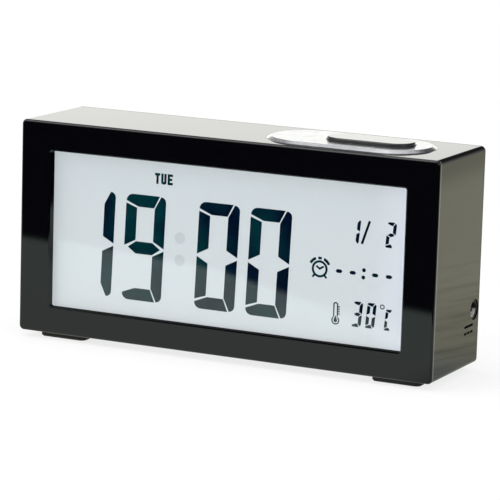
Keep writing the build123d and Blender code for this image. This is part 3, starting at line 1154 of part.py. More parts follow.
SPRING_RUN = SPRING_LENGTH - 2 * (SPRING_WIRE_RADIUS + SPRING_GAP)
print(f"least gap between a spring's turns: {SPRING_RUN / SPRING_TURNS - 2 * SPRING_WIRE_RADIUS:.2f} mm")

contact("negative_contact", -1, spring_z=CELL_HEIGHTS[0], tail_z=CELL_HEIGHTS[0])
contact("lower_link", 1, spring_z=CELL_HEIGHTS[1], dimple_z=CELL_HEIGHTS[0])
contact("upper_link", -1, spring_z=CELL_HEIGHTS[2], dimple_z=CELL_HEIGHTS[1])
contact("positive_contact", 1, dimple_z=CELL_HEIGHTS[2], tail_z=CELL_HEIGHTS[2])


def lead(name, route):
    """A wire along straight runs and round bends."""
    with BuildPart() as wire:
        with BuildLine() as path:
            FilletPolyline(*route, radius=LEAD_BEND)
        with BuildSketch(Plane(path.line @ 0, z_dir=path.line % 0)):
            Circle(LEAD_RADIUS)
        sweep()
    keep(wire, name)


# Battery leads lie on the back of the rear board, clear of its switches.
LEAD_Y = REAR_BOARD_BACK_Y + LEAD_RADIUS + LEAD_GAP
TAIL_X = BAY_OUTER_X + TAIL_LENGTH
LEAD_RISE = CELL_HEIGHTS[-1] + LEAD_STEP
LEAD_END_X = REAR_LEG_LEFT + LEAD_REACH
lead(
    "positive_lead",
    [
        (TAIL_X, CELL_Y, CELL_HEIGHTS[-1]),
        (TAIL_X + (LEAD_END_X - TAIL_X) / 3, CELL_Y, CELL_HEIGHTS[-1]),
        (LEAD_END_X - (LEAD_END_X - TAIL_X) / 3, LEAD_Y, LEAD_RISE),
        (LEAD_END_X, LEAD_Y, LEAD_RISE),
    ],
)
LEAD_X = BUTTON_X - (REAR_POST_OUTSET - REAR_POST_RADIUS + SWITCH_SIZE / 2) / 2
lead(
    "negative_lead",
    [
        (-TAIL_X, CELL_Y, CELL_HEIGHTS[0]),
        (LEAD_X, CELL_Y, CELL_HEIGHTS[0]),
        (LEAD_X, CELL_Y, REAR_STRIP_BOTTOM - 2 * LEAD_STEP),
        (LEAD_X, LEAD_Y, REAR_STRIP_BOTTOM - LEAD_STEP),
        (LEAD_X, LEAD_Y, BUTTON_Z),
    ],
)

# Ribbon cable from the main board to the rear board's leg.
with BuildPart() as ribbon_cable:
    with BuildLine(Plane.YZ.offset(RIBBON_X)) as ribbon_path:
        FilletPolyline(
            (BOARD_BACK_Y, REAR_STRIP_BOTTOM),
            (BOARD_BACK_Y + RIBBON_RUN, REAR_STRIP_BOTTOM),
            (REAR_BOARD_Y - RIBBON_RUN, REAR_STRIP_BOTTOM - RIBBON_STEP),
            (REAR_BOARD_Y, REAR_STRIP_BOTTOM - RIBBON_STEP),
            radius=RIBBON_BEND,
        )
    with BuildSketch(Plane(ribbon_path.line @ 0, x_dir=(1, 0, 0), z_dir=ribbon_path.line % 0)):
        Rectangle(RIBBON_WIDTH, RIBBON_THICKNESS)
    sweep()
keep(ribbon_cable, "ribbon_cable")
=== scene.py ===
"""Desk alarm clock in gloss black with a pale liquid crystal display.

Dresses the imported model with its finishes, draws the display marks and the small symbols,
and sets the studio and the camera. Every place is in the model's own frame.
"""

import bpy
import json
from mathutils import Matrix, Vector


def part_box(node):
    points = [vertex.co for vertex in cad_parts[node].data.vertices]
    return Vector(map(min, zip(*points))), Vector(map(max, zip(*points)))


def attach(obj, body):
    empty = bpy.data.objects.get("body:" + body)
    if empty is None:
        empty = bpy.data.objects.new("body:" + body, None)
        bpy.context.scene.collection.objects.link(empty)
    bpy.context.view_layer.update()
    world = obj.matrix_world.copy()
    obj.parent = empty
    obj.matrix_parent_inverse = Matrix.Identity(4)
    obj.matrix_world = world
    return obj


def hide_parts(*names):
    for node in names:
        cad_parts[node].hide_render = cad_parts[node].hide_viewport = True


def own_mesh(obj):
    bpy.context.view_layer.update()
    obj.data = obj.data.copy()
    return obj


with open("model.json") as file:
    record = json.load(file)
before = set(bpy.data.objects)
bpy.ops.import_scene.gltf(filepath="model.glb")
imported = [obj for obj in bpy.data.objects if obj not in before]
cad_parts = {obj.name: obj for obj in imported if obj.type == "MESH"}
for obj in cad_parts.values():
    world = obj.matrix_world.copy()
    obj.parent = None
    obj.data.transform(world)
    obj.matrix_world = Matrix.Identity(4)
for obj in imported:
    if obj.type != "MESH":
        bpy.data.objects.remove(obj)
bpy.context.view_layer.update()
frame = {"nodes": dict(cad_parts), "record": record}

import json
import logging
import math
from dataclasses import dataclass, field
from enum import Enum
from typing import Dict, List, Optional, Sequence, Tuple, Union

import bmesh
import bpy
from mathutils import Matrix, Vector

LOG = logging.getLogger("clock")
MM = 0.001
WELD = 0.001 * MM
FULL_TURN = 360.0
WHITE = (1.0, 1.0, 1.0, 1.0)

# Layers of finer pattern in a noise.
SLOW_DETAIL = 1.0
FINE_DETAIL = 2.0
CLOUD_DETAIL = 4.0

# Grain of films and small marks, in cells to the metre, and its height in metres.
FILM_GRAIN = 5200.0
FILM_DEPTH = 0.000002

Socket = bpy.types.NodeSocket
Point = Tuple[float, float]
Span = Tuple[float, float]
Triple = Tuple[float, float, float]
Colour = Tuple[float, float, float]
Stops = Sequence[Tuple[float, Union[float, Colour]]]
Value = Union[float, Sequence[float], Socket]
MADE: Dict[str, bpy.types.Material] = {}


class Lay(Enum):
    """Direction of the fine lines that working leaves in a metal."""

    EVEN = (1.0, 1.0, 1.0)
    ALONG_X = (0.04, 1.0, 1.0)
    ALONG_Z = (1.0, 1.0, 0.04)


class Facing(Enum):
    """Side of the clock that a sheet of marks looks out from."""

    FRONT = (0.0, -1.0, 0.0)
    BACK = (0.0, 1.0, 0.0)
    RIGHT = (1.0, 0.0, 0.0)


class Segment(Enum):
    """The seven bars of a digit, from the top clockwise, the middle one last."""

    TOP = "a"
    UPPER_RIGHT = "b"
    LOWER_RIGHT = "c"
    BOTTOM = "d"
    LOWER_LEFT = "e"
    UPPER_LEFT = "f"
    MIDDLE = "g"


class Fade(Enum):
    """How a ramp runs from stop to stop."""

    SOFT = "EASE"
    EVEN = "LINEAR"
    STEP = "CONSTANT"


class NodeSheet:
    """One tree of nodes, with short calls for what the finishes and the studio share."""

    MIX_COLOURS = (6, 7)
    MIX_RESULT = 2

    def __init__(self, tree: bpy.types.NodeTree, coordinates: str) -> None:
        """Empties a tree and picks the coordinates that its patterns lie on.

        Args:
            tree: tree of a material or of the surround.
            coordinates: name of the coordinates.
        """
        self.tree = tree
        tree.nodes.clear()
        self.place = self.node("ShaderNodeTexCoord").outputs[coordinates]

    def plug(self, target: Socket, value: Value) -> None:
        """Links an input to a socket, or sets it to a value.

        Args:
            target: the input.
            value: what it gets.
        """
        if isinstance(value, Socket):
            self.tree.links.new(value, target)
        else:
            target.default_value = value

    def feed(self, node: bpy.types.Node, **sockets: Value) -> None:
        """Sets or links inputs of a node.

        Args:
            node: the node to feed.
            sockets: input values or sockets by name, with _ for a space.
        """
        for name, value in sockets.items():
            self.plug(node.inputs[name.replace("_", " ")], value)

    def node(self, kind: str, **sockets: Value) -> bpy.types.Node:
        """Adds a node and feeds its inputs.

        Args:
            kind: the node's type.
            sockets: input values or sockets by name, with _ for a space.

        Returns:
            The new node.
        """
        node = self.tree.nodes.new(kind)
        self.feed(node, **sockets)
        return node

    def axes(self) -> bpy.types.bpy_prop_collection:
        """Splits the coordinates into X, Y and Z."""
        return self.node("ShaderNodeSeparateXYZ", Vector=self.place).outputs

    def rays(self) -> bpy.types.bpy_prop_collection:
        """Gives the sockets that tell one kind of ray from another."""
        return self.node("ShaderNodeLightPath").outputs

    def noise(self, scale: float, detail: float = 3.0, stretch: Triple = Lay.EVEN.value,
              turn: float = 0.0) -> Socket:
        """Makes a cloud pattern.

        Args:
            scale: pattern cells to the metre.
            detail: layers of finer pattern.
            stretch: factor along each axis.
            turn: turn about Z in radians before the stretch.

        Returns:
            The pattern's value socket.
        """
        place = self.place
        if turn:
            turned = self.node("ShaderNodeMapping", Vector=place, Rotation=(0.0, 0.0, turn))
            place = turned.outputs["Vector"]
        if stretch != Lay.EVEN.value:
            place = self.node("ShaderNodeMapping", Vector=place, Scale=stretch).outputs["Vector"]
        noise = self.node("ShaderNodeTexNoise", Vector=place, Scale=scale, Detail=detail)
        return noise.outputs["Fac"]

    def span(self, value: Socket, low: float, high: float, start: float = 0.3,
             end: float = 0.7) -> Socket:
        """Spreads a value over a new range.

        Args:
            value: the value to spread.
            low: result at start.
            high: result at end.
            start: value that gives low, by default where a noise is low.
            end: value that gives high, by default where a noise is high.

        Returns:
            The result socket.
        """
        node = self.node("ShaderNodeMapRange", Value=value, From_Min=start, From_Max=end,
                         To_Min=low, To_Max=high)
        return node.outputs["Result"]

    def share(self, value: Socket, ends: Span) -> Socket:
        """Gives how far a value has come between two ends, from 0 to 1."""
        return self.span(value, 0.0, 1.0, *ends)

    def math(self, how: str, *values: Value) -> Socket:
        """Works out a result of one to three values.

        Args:
            how: the operation's name.
            values: numbers or sockets.

        Returns:
            The result socket.
        """
        node = self.tree.nodes.new("ShaderNodeMath")
        node.operation = how
        for target, value in zip(node.inputs, values):
            self.plug(target, value)
        return node.outputs[0]

    def blend(self, factor: Socket, low: Value, high: Value) -> Socket:
        """Blends two colours.

        Args:
            factor: share of the second colour.
            low: first colour or socket.
            high: second colour or socket.

        Returns:
            The blended colour socket.
        """
        node = self.tree.nodes.new("ShaderNodeMix")
        node.data_type = "RGBA"
        self.plug(node.inputs[0], factor)
        for index, colour in zip(self.MIX_COLOURS, (low, high)):
            self.plug(node.inputs[index], colour if isinstance(colour, Socket) else (*colour, 1.0))
        return node.outputs[self.MIX_RESULT]

    def ramp(self, value: Socket, stops: Stops, fade: Fade = Fade.SOFT) -> Socket:
        """Colours a value by stops.

        Args:
            value: value from 0 to 1.
            stops: place of each stop, two or more, with its colour or its tone of grey.
            fade: how the colour runs between the stops.

        Returns:
            The colour socket.
        """
        node = self.node("ShaderNodeValToRGB", Fac=value)
        band = node.color_ramp
        band.interpolation = fade.value
        while len(band.elements) < len(stops):
            band.elements.new(1.0)
        for element, (place, tone) in zip(band.elements, stops):
            element.position = place
            element.color = (*tone, 1.0) if isinstance(tone, tuple) else (tone, tone, tone, 1.0)
        return node.outputs["Color"]

    def mix(self, factor: Socket, first: Socket, second: Socket) -> Socket:
        """Mixes two shaders.

        Args:
            factor: share of the second shader.
            first: first shader.
            second: second shader.

        Returns:
            The mixed shader's socket.
        """
        node = self.node("ShaderNodeMixShader", Fac=factor)
        for target, shader in zip(node.inputs[1:], (first, second)):
            self.plug(target, shader)
        return node.outputs["Shader"]


class MaterialSheet(NodeSheet):
    """One material's nodes on the object's own coordinates, round a surface shader."""

    def __init__(self, name: str) -> None:
        """Starts a material with one surface shader.

        Args:
            name: name of the new material.
        """
        self.material = bpy.data.materials.new(name)
        self.material.use_nodes = True
        super().__init__(self.material.node_tree, "Object")
        self.output = self.node("ShaderNodeOutputMaterial")
        self.shader = self.node("ShaderNodeBsdfPrincipled")
        self.surface(self.shader.outputs["BSDF"])

    def surface(self, shader: Socket) -> None:
        """Makes a shader the material's surface."""
        self.feed(self.output, Surface=shader)

    def bump(self, height: Socket, depth: float, under: Optional[Socket] = None) -> Socket:
        """Tilts the surface by a pattern of heights.

        Args:
            height: the pattern.
            depth: its height in metres.
            under: a slope that the pattern lies on, if any.

        Returns:
            The tilted normal's socket.
        """
        node = self.node("ShaderNodeBump", Height=height, Distance=depth, Strength=1.0)
        if under is not None:
            self.feed(node, Normal=under)
        return node.outputs["Normal"]

    def relief(self, height: Socket, depth: float, under: Optional[Socket] = None) -> None:
        """Raises the surface shader by a pattern, on a slope if there is one."""
        self.feed(self.shader, Normal=self.bump(height, depth, under))


@dataclass(frozen=True)
class Finish:
    """A surface finish, made once and shared by all that wear it."""

    name: str

    def material(self) -> bpy.types.Material:
        """Gives the finish's material, made at its first use.

        Returns:
            The material.
        """
        if self.name not in MADE:
            sheet = MaterialSheet(self.name)
            self.make(sheet)
            MADE[self.name] = sheet.material
        return MADE[self.name]

    def make(self, sheet: MaterialSheet) -> None:
        """Builds the material's nodes on a new sheet."""
        raise NotImplementedError


@dataclass(frozen=True)
class MouldedFinish(Finish):
    """Moulded plastic, rubber or resin, from mirror gloss to matt."""

    colour: Colour
    shade: Colour
    rough: Span
    grain: float = 2500.0
    depth: float = 0.00001
    cloud: float = 40.0
    ior: float = 1.5
    coat: float = 0.0
    even: float = 0.5

    def make(self, sheet: MaterialSheet) -> None:
        """Builds a clouded colour and a fine grain.

        Args:
            sheet: the material's nodes.
        """
        fine = sheet.noise(self.grain, FINE_DETAIL)
        cloud = sheet.noise(self.cloud, CLOUD_DETAIL)
        wear = sheet.math("MULTIPLY_ADD", fine, self.even, sheet.math("MULTIPLY", cloud, self.even))
        sheet.feed(sheet.shader, Base_Color=sheet.blend(cloud, self.colour, self.shade),
                   Roughness=sheet.span(wear, *self.rough), IOR=self.ior, Coat_Weight=self.coat)
        sheet.relief(fine, self.depth)


@dataclass(frozen=True)
class CaseFinish(Finish):
    """Piano black of the front case, with a painted highlight along its front corners, and a draft
    on its window.
    """

    colour: Colour
    shade: Colour
    # Colour of a painted highlight along the front vertical corners.
    painted_highlight: Colour
    rough: Span
    corner: Point
    reveal: Tuple[float, float, float, float]
    draft: float
    face: float
    sill: Triple
    grain: float = 900.0
    cloud: float = 25.0
    wave: Span = (55.0, 3.0)
    depth: float = 0.0000012
    ior: float = 1.5
    # Angles round a front corner, and the stops of the painted highlight across them.
    highlight_turn: Span = (math.radians(-45.0), math.radians(5.0))
    highlight_stops: Stops = ((0.14, 0.0), (0.30, 1.0), (0.55, 0.75), (0.92, 0.0))

    def make(self, sheet: MaterialSheet) -> None:
        """Builds the gloss, the painted highlight along the front corners, the slow wave and the
        sloped reveal.

        Args:
            sheet: the material's nodes.
        """
        axes = sheet.axes()
        wide = sheet.math("ABSOLUTE", axes["X"])
        fine = sheet.noise(self.grain, FINE_DETAIL)
        tone = sheet.blend(sheet.noise(self.cloud, CLOUD_DETAIL), self.colour, self.shade)
        # Painted highlight: a lighter colour in a band of angles round each front vertical corner,
        # in place of the gloss mirroring a bright strip there.
        turn = sheet.math("ARCTAN2", sheet.math("SUBTRACT", axes["Y"], self.corner[1]),
                          sheet.math("SUBTRACT", wide, self.corner[0]))
        lightened = sheet.ramp(sheet.share(turn, self.highlight_turn), self.highlight_stops)
        sheet.feed(sheet.shader, Base_Color=sheet.blend(lightened, tone, self.painted_highlight),
                   Roughness=sheet.span(fine, *self.rough), IOR=self.ior)
        scale, swell = self.wave
        height = sheet.math("MULTIPLY_ADD", sheet.noise(scale, SLOW_DETAIL), swell, fine)
        sheet.relief(height, self.depth, self.slope(sheet, wide))

    def slope(self, sheet: MaterialSheet, wide: Socket) -> Socket:
        """Slopes the window's reveal, more steeply on its sill.

        Args:
            sheet: the material's nodes.
            wide: distance from the clock's middle.

        Returns:
            The sloped normal's socket.
        """
        axes = sheet.axes()
        front, side, low, high = self.reveal
        top, ledge, nose = self.sill
        deep = sheet.math("MAXIMUM", sheet.math("SUBTRACT", axes["Y"], front), 0.0)
        tall = sheet.math("COMPARE", axes["Z"], (low + high) / 2, (high - low) / 2)
        inside = sheet.math("MULTIPLY", sheet.math("LESS_THAN", wide, side), tall)
        below = sheet.math("LESS_THAN", axes["Z"], top)
        steep = sheet.math("MULTIPLY", deep, sheet.math("MULTIPLY_ADD", below, ledge, 1.0))
        lip = sheet.math("MINIMUM", sheet.math("SUBTRACT", axes["Y"], self.face),
                         front - self.face)
        steep = sheet.math("MULTIPLY_ADD", sheet.math("MULTIPLY", lip, below), nose, steep)
        return sheet.bump(sheet.math("MULTIPLY", steep, inside), self.draft)


@dataclass(frozen=True)
class CoverFinish(Finish):
    """Moulded cover, polished on its flanks and spark textured on its rear face."""

    flank: Colour
    face: Colour
    polish: Span
    grain: float
    depth: float
    satin: Span
    turn: Span
    cloud: float = 60.0
    wear: float = 1.4

    def make(self, sheet: MaterialSheet) -> None:
        """Builds the two textures and the change between them along Y.

        Args:
            sheet: the material's nodes.
        """
        fine = sheet.noise(self.grain, FINE_DETAIL)
        cloud = sheet.noise(self.cloud, CLOUD_DETAIL)
        rear = sheet.share(sheet.axes()["Y"], self.turn)
        lightened = tuple(self.wear * part for part in self.face)
        smooth = sheet.span(fine, *self.polish)
        gain = sheet.math("SUBTRACT", sheet.span(fine, *self.satin), smooth)
        sheet.feed(sheet.shader, Roughness=sheet.math("MULTIPLY_ADD", gain, rear, smooth),
                   Base_Color=sheet.blend(rear, self.flank, sheet.blend(cloud, self.face, lightened)))
        sheet.relief(sheet.math("MULTIPLY", fine, rear), self.depth)


@dataclass(frozen=True)
class MetalFinish(Finish):
    """Plated, drawn or rolled metal."""

    colour: Colour
    shade: Colour
    rough: Span
    lay: Lay = Lay.EVEN
    grain: float = 4000.0
    depth: float = 0.000004
    cloud: float = 120.0

    def make(self, sheet: MaterialSheet) -> None:
        """Builds fine working lines over a slightly clouded plate.

        Args:
            sheet: the material's nodes.
        """
        lines = sheet.noise(self.grain, stretch=self.lay.value)
        cloud = sheet.span(sheet.noise(self.cloud), 0.0, 1.0)
        sheet.feed(sheet.shader, Base_Color=sheet.blend(cloud, self.colour, self.shade),
                   Roughness=sheet.span(lines, *self.rough), Metallic=1.0)
        sheet.relief(lines, self.depth)


@dataclass(frozen=True)
class ClearFinish(Finish):
    """Clear moulding that lets the lamps' light through to what lies behind it."""

    tint: Colour
    rough: Span
    ior: float = 1.49
    twist: float = 0.0
    hub: Point = (-0.005, 0.035)
    haze: float = 350.0
    dim: float = 0.985

    def make(self, sheet: MaterialSheet) -> None:
        """Builds the clear shader, its slight twist and its way through for light.

        Args:
            sheet: the material's nodes.
        """
        haze = sheet.noise(self.haze, FINE_DETAIL)
        dimmed = tuple(self.dim * part for part in self.tint)
        sheet.feed(sheet.shader, Base_Color=sheet.blend(haze, self.tint, dimmed), IOR=self.ior,
                   Roughness=sheet.span(haze, *self.rough), Transmission_Weight=1.0)
        if self.twist:
            axes = sheet.axes()
            across, up = self.hub
            aside = sheet.math("MAXIMUM", sheet.math("SUBTRACT", axes["X"], across), 0.0)
            lift = sheet.math("MULTIPLY", aside, sheet.math("SUBTRACT", axes["Z"], up))
            sheet.relief(lift, self.twist)
        rays = sheet.rays()
        through = sheet.math("MAXIMUM", rays["Is Shadow Ray"], rays["Is Diffuse Ray"])
        open_way = sheet.node("ShaderNodeBsdfTransparent", Color=(*self.tint, 1.0))
        sheet.surface(sheet.mix(through, sheet.shader.outputs["BSDF"], open_way.outputs["BSDF"]))


@dataclass(frozen=True)
class DisplayFinish(Finish):
    """Pale reflective polariser of the display."""

    colour: Colour
    shade: Colour
    rough: Span = (0.36, 0.5)
    # Strength of a painted glow, with no lamp behind it, which evens out the shade that the bezel
    # casts on the display.
    painted_glow: float = 2.25
    gloss: float = 0.2
    climb: Span = (0.0, 0.07)
    speckle: float = 0.35
    edge: Colour = (0.248, 0.261, 0.292)
    edge_span: Span = (0.050, 0.063)

    def make(self, sheet: MaterialSheet) -> None:
        """Builds the polariser's fine grain, its tone, which darkens slightly towards the top and
        turns lighter and bluer at its right edge, and a painted glow, with no lamp behind it, that
        evens out the shade from the bezel.

        Args:
            sheet: the material's nodes.
        """
        axes = sheet.axes()
        grain = sheet.noise(FILM_GRAIN, FINE_DETAIL)
        drift = sheet.math("MULTIPLY_ADD", grain, self.speckle, sheet.share(axes["Z"], self.climb))
        tone = sheet.blend(drift, self.colour, self.shade)
        tone = sheet.blend(sheet.share(axes["X"], self.edge_span), tone, self.edge)
        # The emission is a painted glow, not a lamp: it evens out the shade that the bezel casts on
        # the display.
        sheet.feed(sheet.shader, Base_Color=tone, Roughness=sheet.span(grain, *self.rough),
                   Emission_Color=tone, Emission_Strength=self.painted_glow,
                   Specular_IOR_Level=self.gloss)
        sheet.relief(grain, FILM_DEPTH)


@dataclass(frozen=True)
class InkFinish(Finish):
    """Dark liquid crystal or a printed mark, with a slight drift of hue."""

    colour: Colour
    shade: Colour
    rough: Span = (0.35, 0.5)
    gloss: float = 0.0
    drift: float = 58.0
    detail: float = 1.5
    turn: Span = (0.38, 0.62)

    def make(self, sheet: MaterialSheet) -> None:
        """Builds two hues that run into each other.

        Args:
            sheet: the material's nodes.
        """
        hue = sheet.share(sheet.noise(self.drift, self.detail), self.turn)
        fine = sheet.noise(FILM_GRAIN, FINE_DETAIL)
        sheet.feed(sheet.shader, Base_Color=sheet.blend(hue, self.colour, self.shade),
                   Roughness=sheet.span(fine, *self.rough), Specular_IOR_Level=self.gloss)
        sheet.relief(fine, FILM_DEPTH)


@dataclass(frozen=True)
class BoardFinish(Finish):
    """Circuit board with copper tracks under green resist."""

    resist: Colour
    track: Colour
    pad: Colour
    winding: float = 130.0
    wander: float = 9.0
    ripple: Span = (1.0, 0.6)
    track_edge: Span = (0.62, 0.70)
    pads: float = 150.0
    pad_edge: Span = (0.13, 0.10)
    grain: float = 900.0
    rough: Span = (0.28, 0.42)
    depth: float = 0.00003

    def make(self, sheet: MaterialSheet) -> None:
        """Builds winding tracks and tinned pads.

        Args:
            sheet: the material's nodes.
        """
        detail, scale = self.ripple
        wave = sheet.node("ShaderNodeTexWave", Vector=sheet.place, Scale=self.winding,
                          Distortion=self.wander, Detail=detail, Detail_Scale=scale)
        track = sheet.share(wave.outputs["Fac"], self.track_edge)
        spots = sheet.node("ShaderNodeTexVoronoi", Vector=sheet.place, Scale=self.pads)
        pad = sheet.share(spots.outputs["Distance"], self.pad_edge)
        colour = sheet.blend(pad, sheet.blend(track, self.resist, self.track), self.pad)
        sheet.feed(sheet.shader, Base_Color=colour, Metallic=pad,
                   Roughness=sheet.span(sheet.noise(self.grain), *self.rough))
        sheet.relief(sheet.math("ADD", track, pad), self.depth)


@dataclass(frozen=True)
class CellFinish(Finish):
    """Plain jacket of a dry cell, with its bands along X."""

    low: float
    high: float
    turned: bool
    jacket: Colour = (0.50, 0.51, 0.52)
    band: Colour = (0.012, 0.10, 0.055)
    steel: Colour = (0.62, 0.61, 0.60)
    bare: Span = (0.022, 0.955)
    bands: Tuple[float, float, float, float] = (0.10, 0.70, 0.72, 0.75)
    grain: float = 700.0
    scuffed: float = 0.12
    rough: Span = (0.22, 0.36)
    depth: float = 0.000006

    def make(self, sheet: MaterialSheet) -> None:
        """Builds the bands from the flat end to the nub.

        Args:
            sheet: the material's nodes.
        """
        ends = (self.high, self.low) if self.turned else (self.low, self.high)
        along = sheet.share(sheet.axes()["X"], ends)
        start, end = self.bare
        places = (0.0, start, *self.bands, end)
        tones = (self.steel, self.band, self.jacket, self.band, self.jacket, self.band, self.steel)
        scuff = sheet.noise(self.grain, CLOUD_DETAIL)
        tone = sheet.ramp(along, tuple(zip(places, tones)), Fade.STEP)
        lightened = sheet.blend(sheet.span(scuff, 0.0, self.scuffed), tone, self.steel)
        metal = sheet.ramp(along, ((0.0, 1.0), (start, 0.0), (end, 1.0)), Fade.STEP)
        sheet.feed(sheet.shader, Base_Color=lightened, Metallic=metal,
                   Roughness=sheet.span(scuff, *self.rough))
        sheet.relief(scuff, self.depth)


@dataclass(frozen=True)
class SleeveFinish(Finish):
    """Contact sleeve painted near black as the shade of the socket's hollow, with a painted patch
    of light low at its mouth.
    """

    mouth: Span
    low: Span
    # Painted shade of the socket's hollow, and painted light on the sleeve's lower wall near its
    # mouth.
    painted_shade: Colour = (0.010, 0.010, 0.011)
    painted_light: Colour = (0.86, 0.86, 0.90)
    rough: Span = (0.42, 0.58)
    metal: float = 0.3
    grain: float = 4000.0
    depth: float = 0.000004

    def make(self, sheet: MaterialSheet) -> None:
        """Builds the painted shade and the painted patch of light.

        Args:
            sheet: the material's nodes.
        """
        axes = sheet.axes()
        fine = sheet.noise(self.grain)
        # Painted light: a bright patch low at the mouth where lamp light falls into the hole;
        # painted shade: near black elsewhere.
        light_patch = sheet.math("MULTIPLY", sheet.share(axes["X"], self.mouth),
                           sheet.share(axes["Z"], self.low))
        sheet.feed(sheet.shader, Base_Color=sheet.blend(light_patch, self.painted_shade, self.painted_light),
                   Roughness=sheet.span(fine, *self.rough), Metallic=self.metal)
        sheet.relief(fine, self.depth)


@dataclass(frozen=True)
class RibbonFinish(Finish):
    """Flat ribbon of parallel wires."""

    colour: Colour
    groove: Colour
    wires: float
    valley: Span = (-1.0, 0.2)
    grain: float = 1500.0
    rough: Span = (0.4, 0.55)
    depth: float = 0.0002

    def make(self, sheet: MaterialSheet) -> None:
        """Builds rounded wires side by side.

        Args:
            sheet: the material's nodes.
        """
        turns = sheet.math("MULTIPLY", sheet.axes()["X"], 2.0 * math.pi * self.wires)
        ridge = sheet.share(sheet.math("COSINE", turns), self.valley)
        sheet.feed(sheet.shader, Base_Color=sheet.blend(ridge, self.groove, self.colour),
                   Roughness=sheet.span(sheet.noise(self.grain), *self.rough))
        sheet.relief(ridge, self.depth)


SLOT_FINISH: Dict[str, Finish] = {
    # The case's third colour is a painted highlight along its front vertical corners.
    "case_gloss": CaseFinish(
        "piano_black_gloss", (0.0010, 0.0011, 0.0020), (0.0015, 0.0015, 0.0022),
        (0.12, 0.12, 0.112), (0.02, 0.05), corner=(0.0709, -0.0172),
        reveal=(-0.0184, 0.070, 0.004, 0.0705), draft=0.8, face=-0.0188, sill=(0.0125, 13.4, 1.5)),
    "cover_satin": CoverFinish(
        "cover_black", (0.0010, 0.0011, 0.0020), (0.011, 0.011, 0.012), (0.02, 0.05),
        3200.0, 0.00003, (0.36, 0.50), (0.0172, 0.0178)),
    "key_gloss": MouldedFinish(
        "key_gloss_black", (0.0045, 0.0045, 0.005), (0.006, 0.006, 0.0065), (0.02, 0.05),
        1400.0, 0.000002, 90.0, ior=1.6, coat=0.3),
    "button_gloss": MouldedFinish(
        "button_black", (0.010, 0.010, 0.011), (0.014, 0.014, 0.015), (0.22, 0.34),
        2600.0, 0.00001, 120.0),
    "knob_black": MouldedFinish(
        "black_of_knob", (0.013, 0.013, 0.014), (0.019, 0.019, 0.02), (0.3, 0.42),
        2600.0, 0.00002, 150.0),
    "foot_rubber": MouldedFinish(
        "rubber_of_feet", (0.012, 0.012, 0.012), (0.02, 0.02, 0.019), (0.62, 0.8),
        2200.0, 0.00004, 300.0),
    "socket_black": MouldedFinish(
        "black_of_socket", (0.012, 0.012, 0.013), (0.018, 0.018, 0.018), (0.35, 0.5),
        2200.0, 0.00002, 200.0),
    "switch_black": MouldedFinish(
        "black_of_switches", (0.02, 0.02, 0.021), (0.028, 0.028, 0.028), (0.4, 0.55),
        2600.0, 0.00002, 200.0),
    "chip_resin": MouldedFinish(
        "resin_of_chip", (0.012, 0.012, 0.013), (0.02, 0.019, 0.018), (0.18, 0.36),
        1200.0, 0.00002, 180.0),
    "holder_white": MouldedFinish(
        "white_of_holder", (0.78, 0.78, 0.75), (0.70, 0.70, 0.67), (0.42, 0.58),
        2400.0, 0.00002, 70.0),
    "strip_silicone": MouldedFinish(
        "silicone_of_strip", (0.42, 0.20, 0.20), (0.50, 0.26, 0.25), (0.5, 0.65),
        3000.0, 0.00003, 500.0),
    "lamp_white": MouldedFinish(
        "white_of_lamps", (0.82, 0.82, 0.76), (0.74, 0.72, 0.60), (0.25, 0.4),
        1800.0, 0.00001, 400.0),
    "can_sleeve": MouldedFinish(
        "blue_sleeve", (0.02, 0.03, 0.085), (0.03, 0.04, 0.10), (0.25, 0.36),
        1500.0, 0.00001, 250.0),
    "dome_silicone": MouldedFinish(
        "silicone_of_dome", (0.60, 0.60, 0.58), (0.50, 0.50, 0.49), (0.5, 0.7),
        2400.0, 0.00003, 300.0),
    "sounder_ceramic": MouldedFinish(
        "ceramic_of_sounder", (0.62, 0.60, 0.55), (0.52, 0.50, 0.46), (0.45, 0.6),
        2800.0, 0.00002, 220.0),
    "lead_red": MouldedFinish(
        "red_lead", (0.36, 0.02, 0.018), (0.28, 0.016, 0.014), (0.3, 0.45),
        2600.0, 0.00002, 300.0),
    "lead_black": MouldedFinish(
        "black_lead", (0.014, 0.014, 0.014), (0.022, 0.022, 0.021), (0.3, 0.45),
        2600.0, 0.00002, 300.0),
    "trim_silver": MetalFinish(
        "trim_satin_chrome", (0.78, 0.78, 0.78), (0.62, 0.64, 0.67), (0.19, 0.30),
        Lay.ALONG_X, 5000.0, 0.000003, 380.0),
    "screw_steel": MetalFinish("screw_zinc", (0.50, 0.50, 0.51), (0.40, 0.40, 0.42), (0.22, 0.4)),
    "can_steel": MetalFinish(
        "drawn_steel", (0.58, 0.58, 0.58), (0.50, 0.50, 0.51), (0.2, 0.34), Lay.ALONG_Z),
    "contact_nickel": MetalFinish(
        "nickel_plate", (0.66, 0.64, 0.58), (0.58, 0.56, 0.50), (0.16, 0.3), Lay.ALONG_X),
    "sounder_brass": MetalFinish(
        "brass_of_sounder", (0.62, 0.43, 0.16), (0.54, 0.36, 0.13), (0.24, 0.4)),
    "lens_clear": ClearFinish("clear_lens", (0.985, 0.992, 0.992), (0.0, 0.012), twist=-0.48),
    "guide_clear": ClearFinish("guide_etched", (0.93, 0.95, 0.95), (0.12, 0.3)),
    # The polariser's emission is a painted glow that evens out the shade from the bezel.
    "lcd_pale": DisplayFinish("lcd_polariser", (0.220, 0.233, 0.242), (0.208, 0.226, 0.235)),
    "board_green": BoardFinish(
        "board_resist", (0.012, 0.085, 0.035), (0.03, 0.17, 0.07), (0.62, 0.61, 0.58)),
    "ribbon_grey": RibbonFinish("grey_ribbon", (0.36, 0.36, 0.37), (0.14, 0.14, 0.15), 790.0),
}
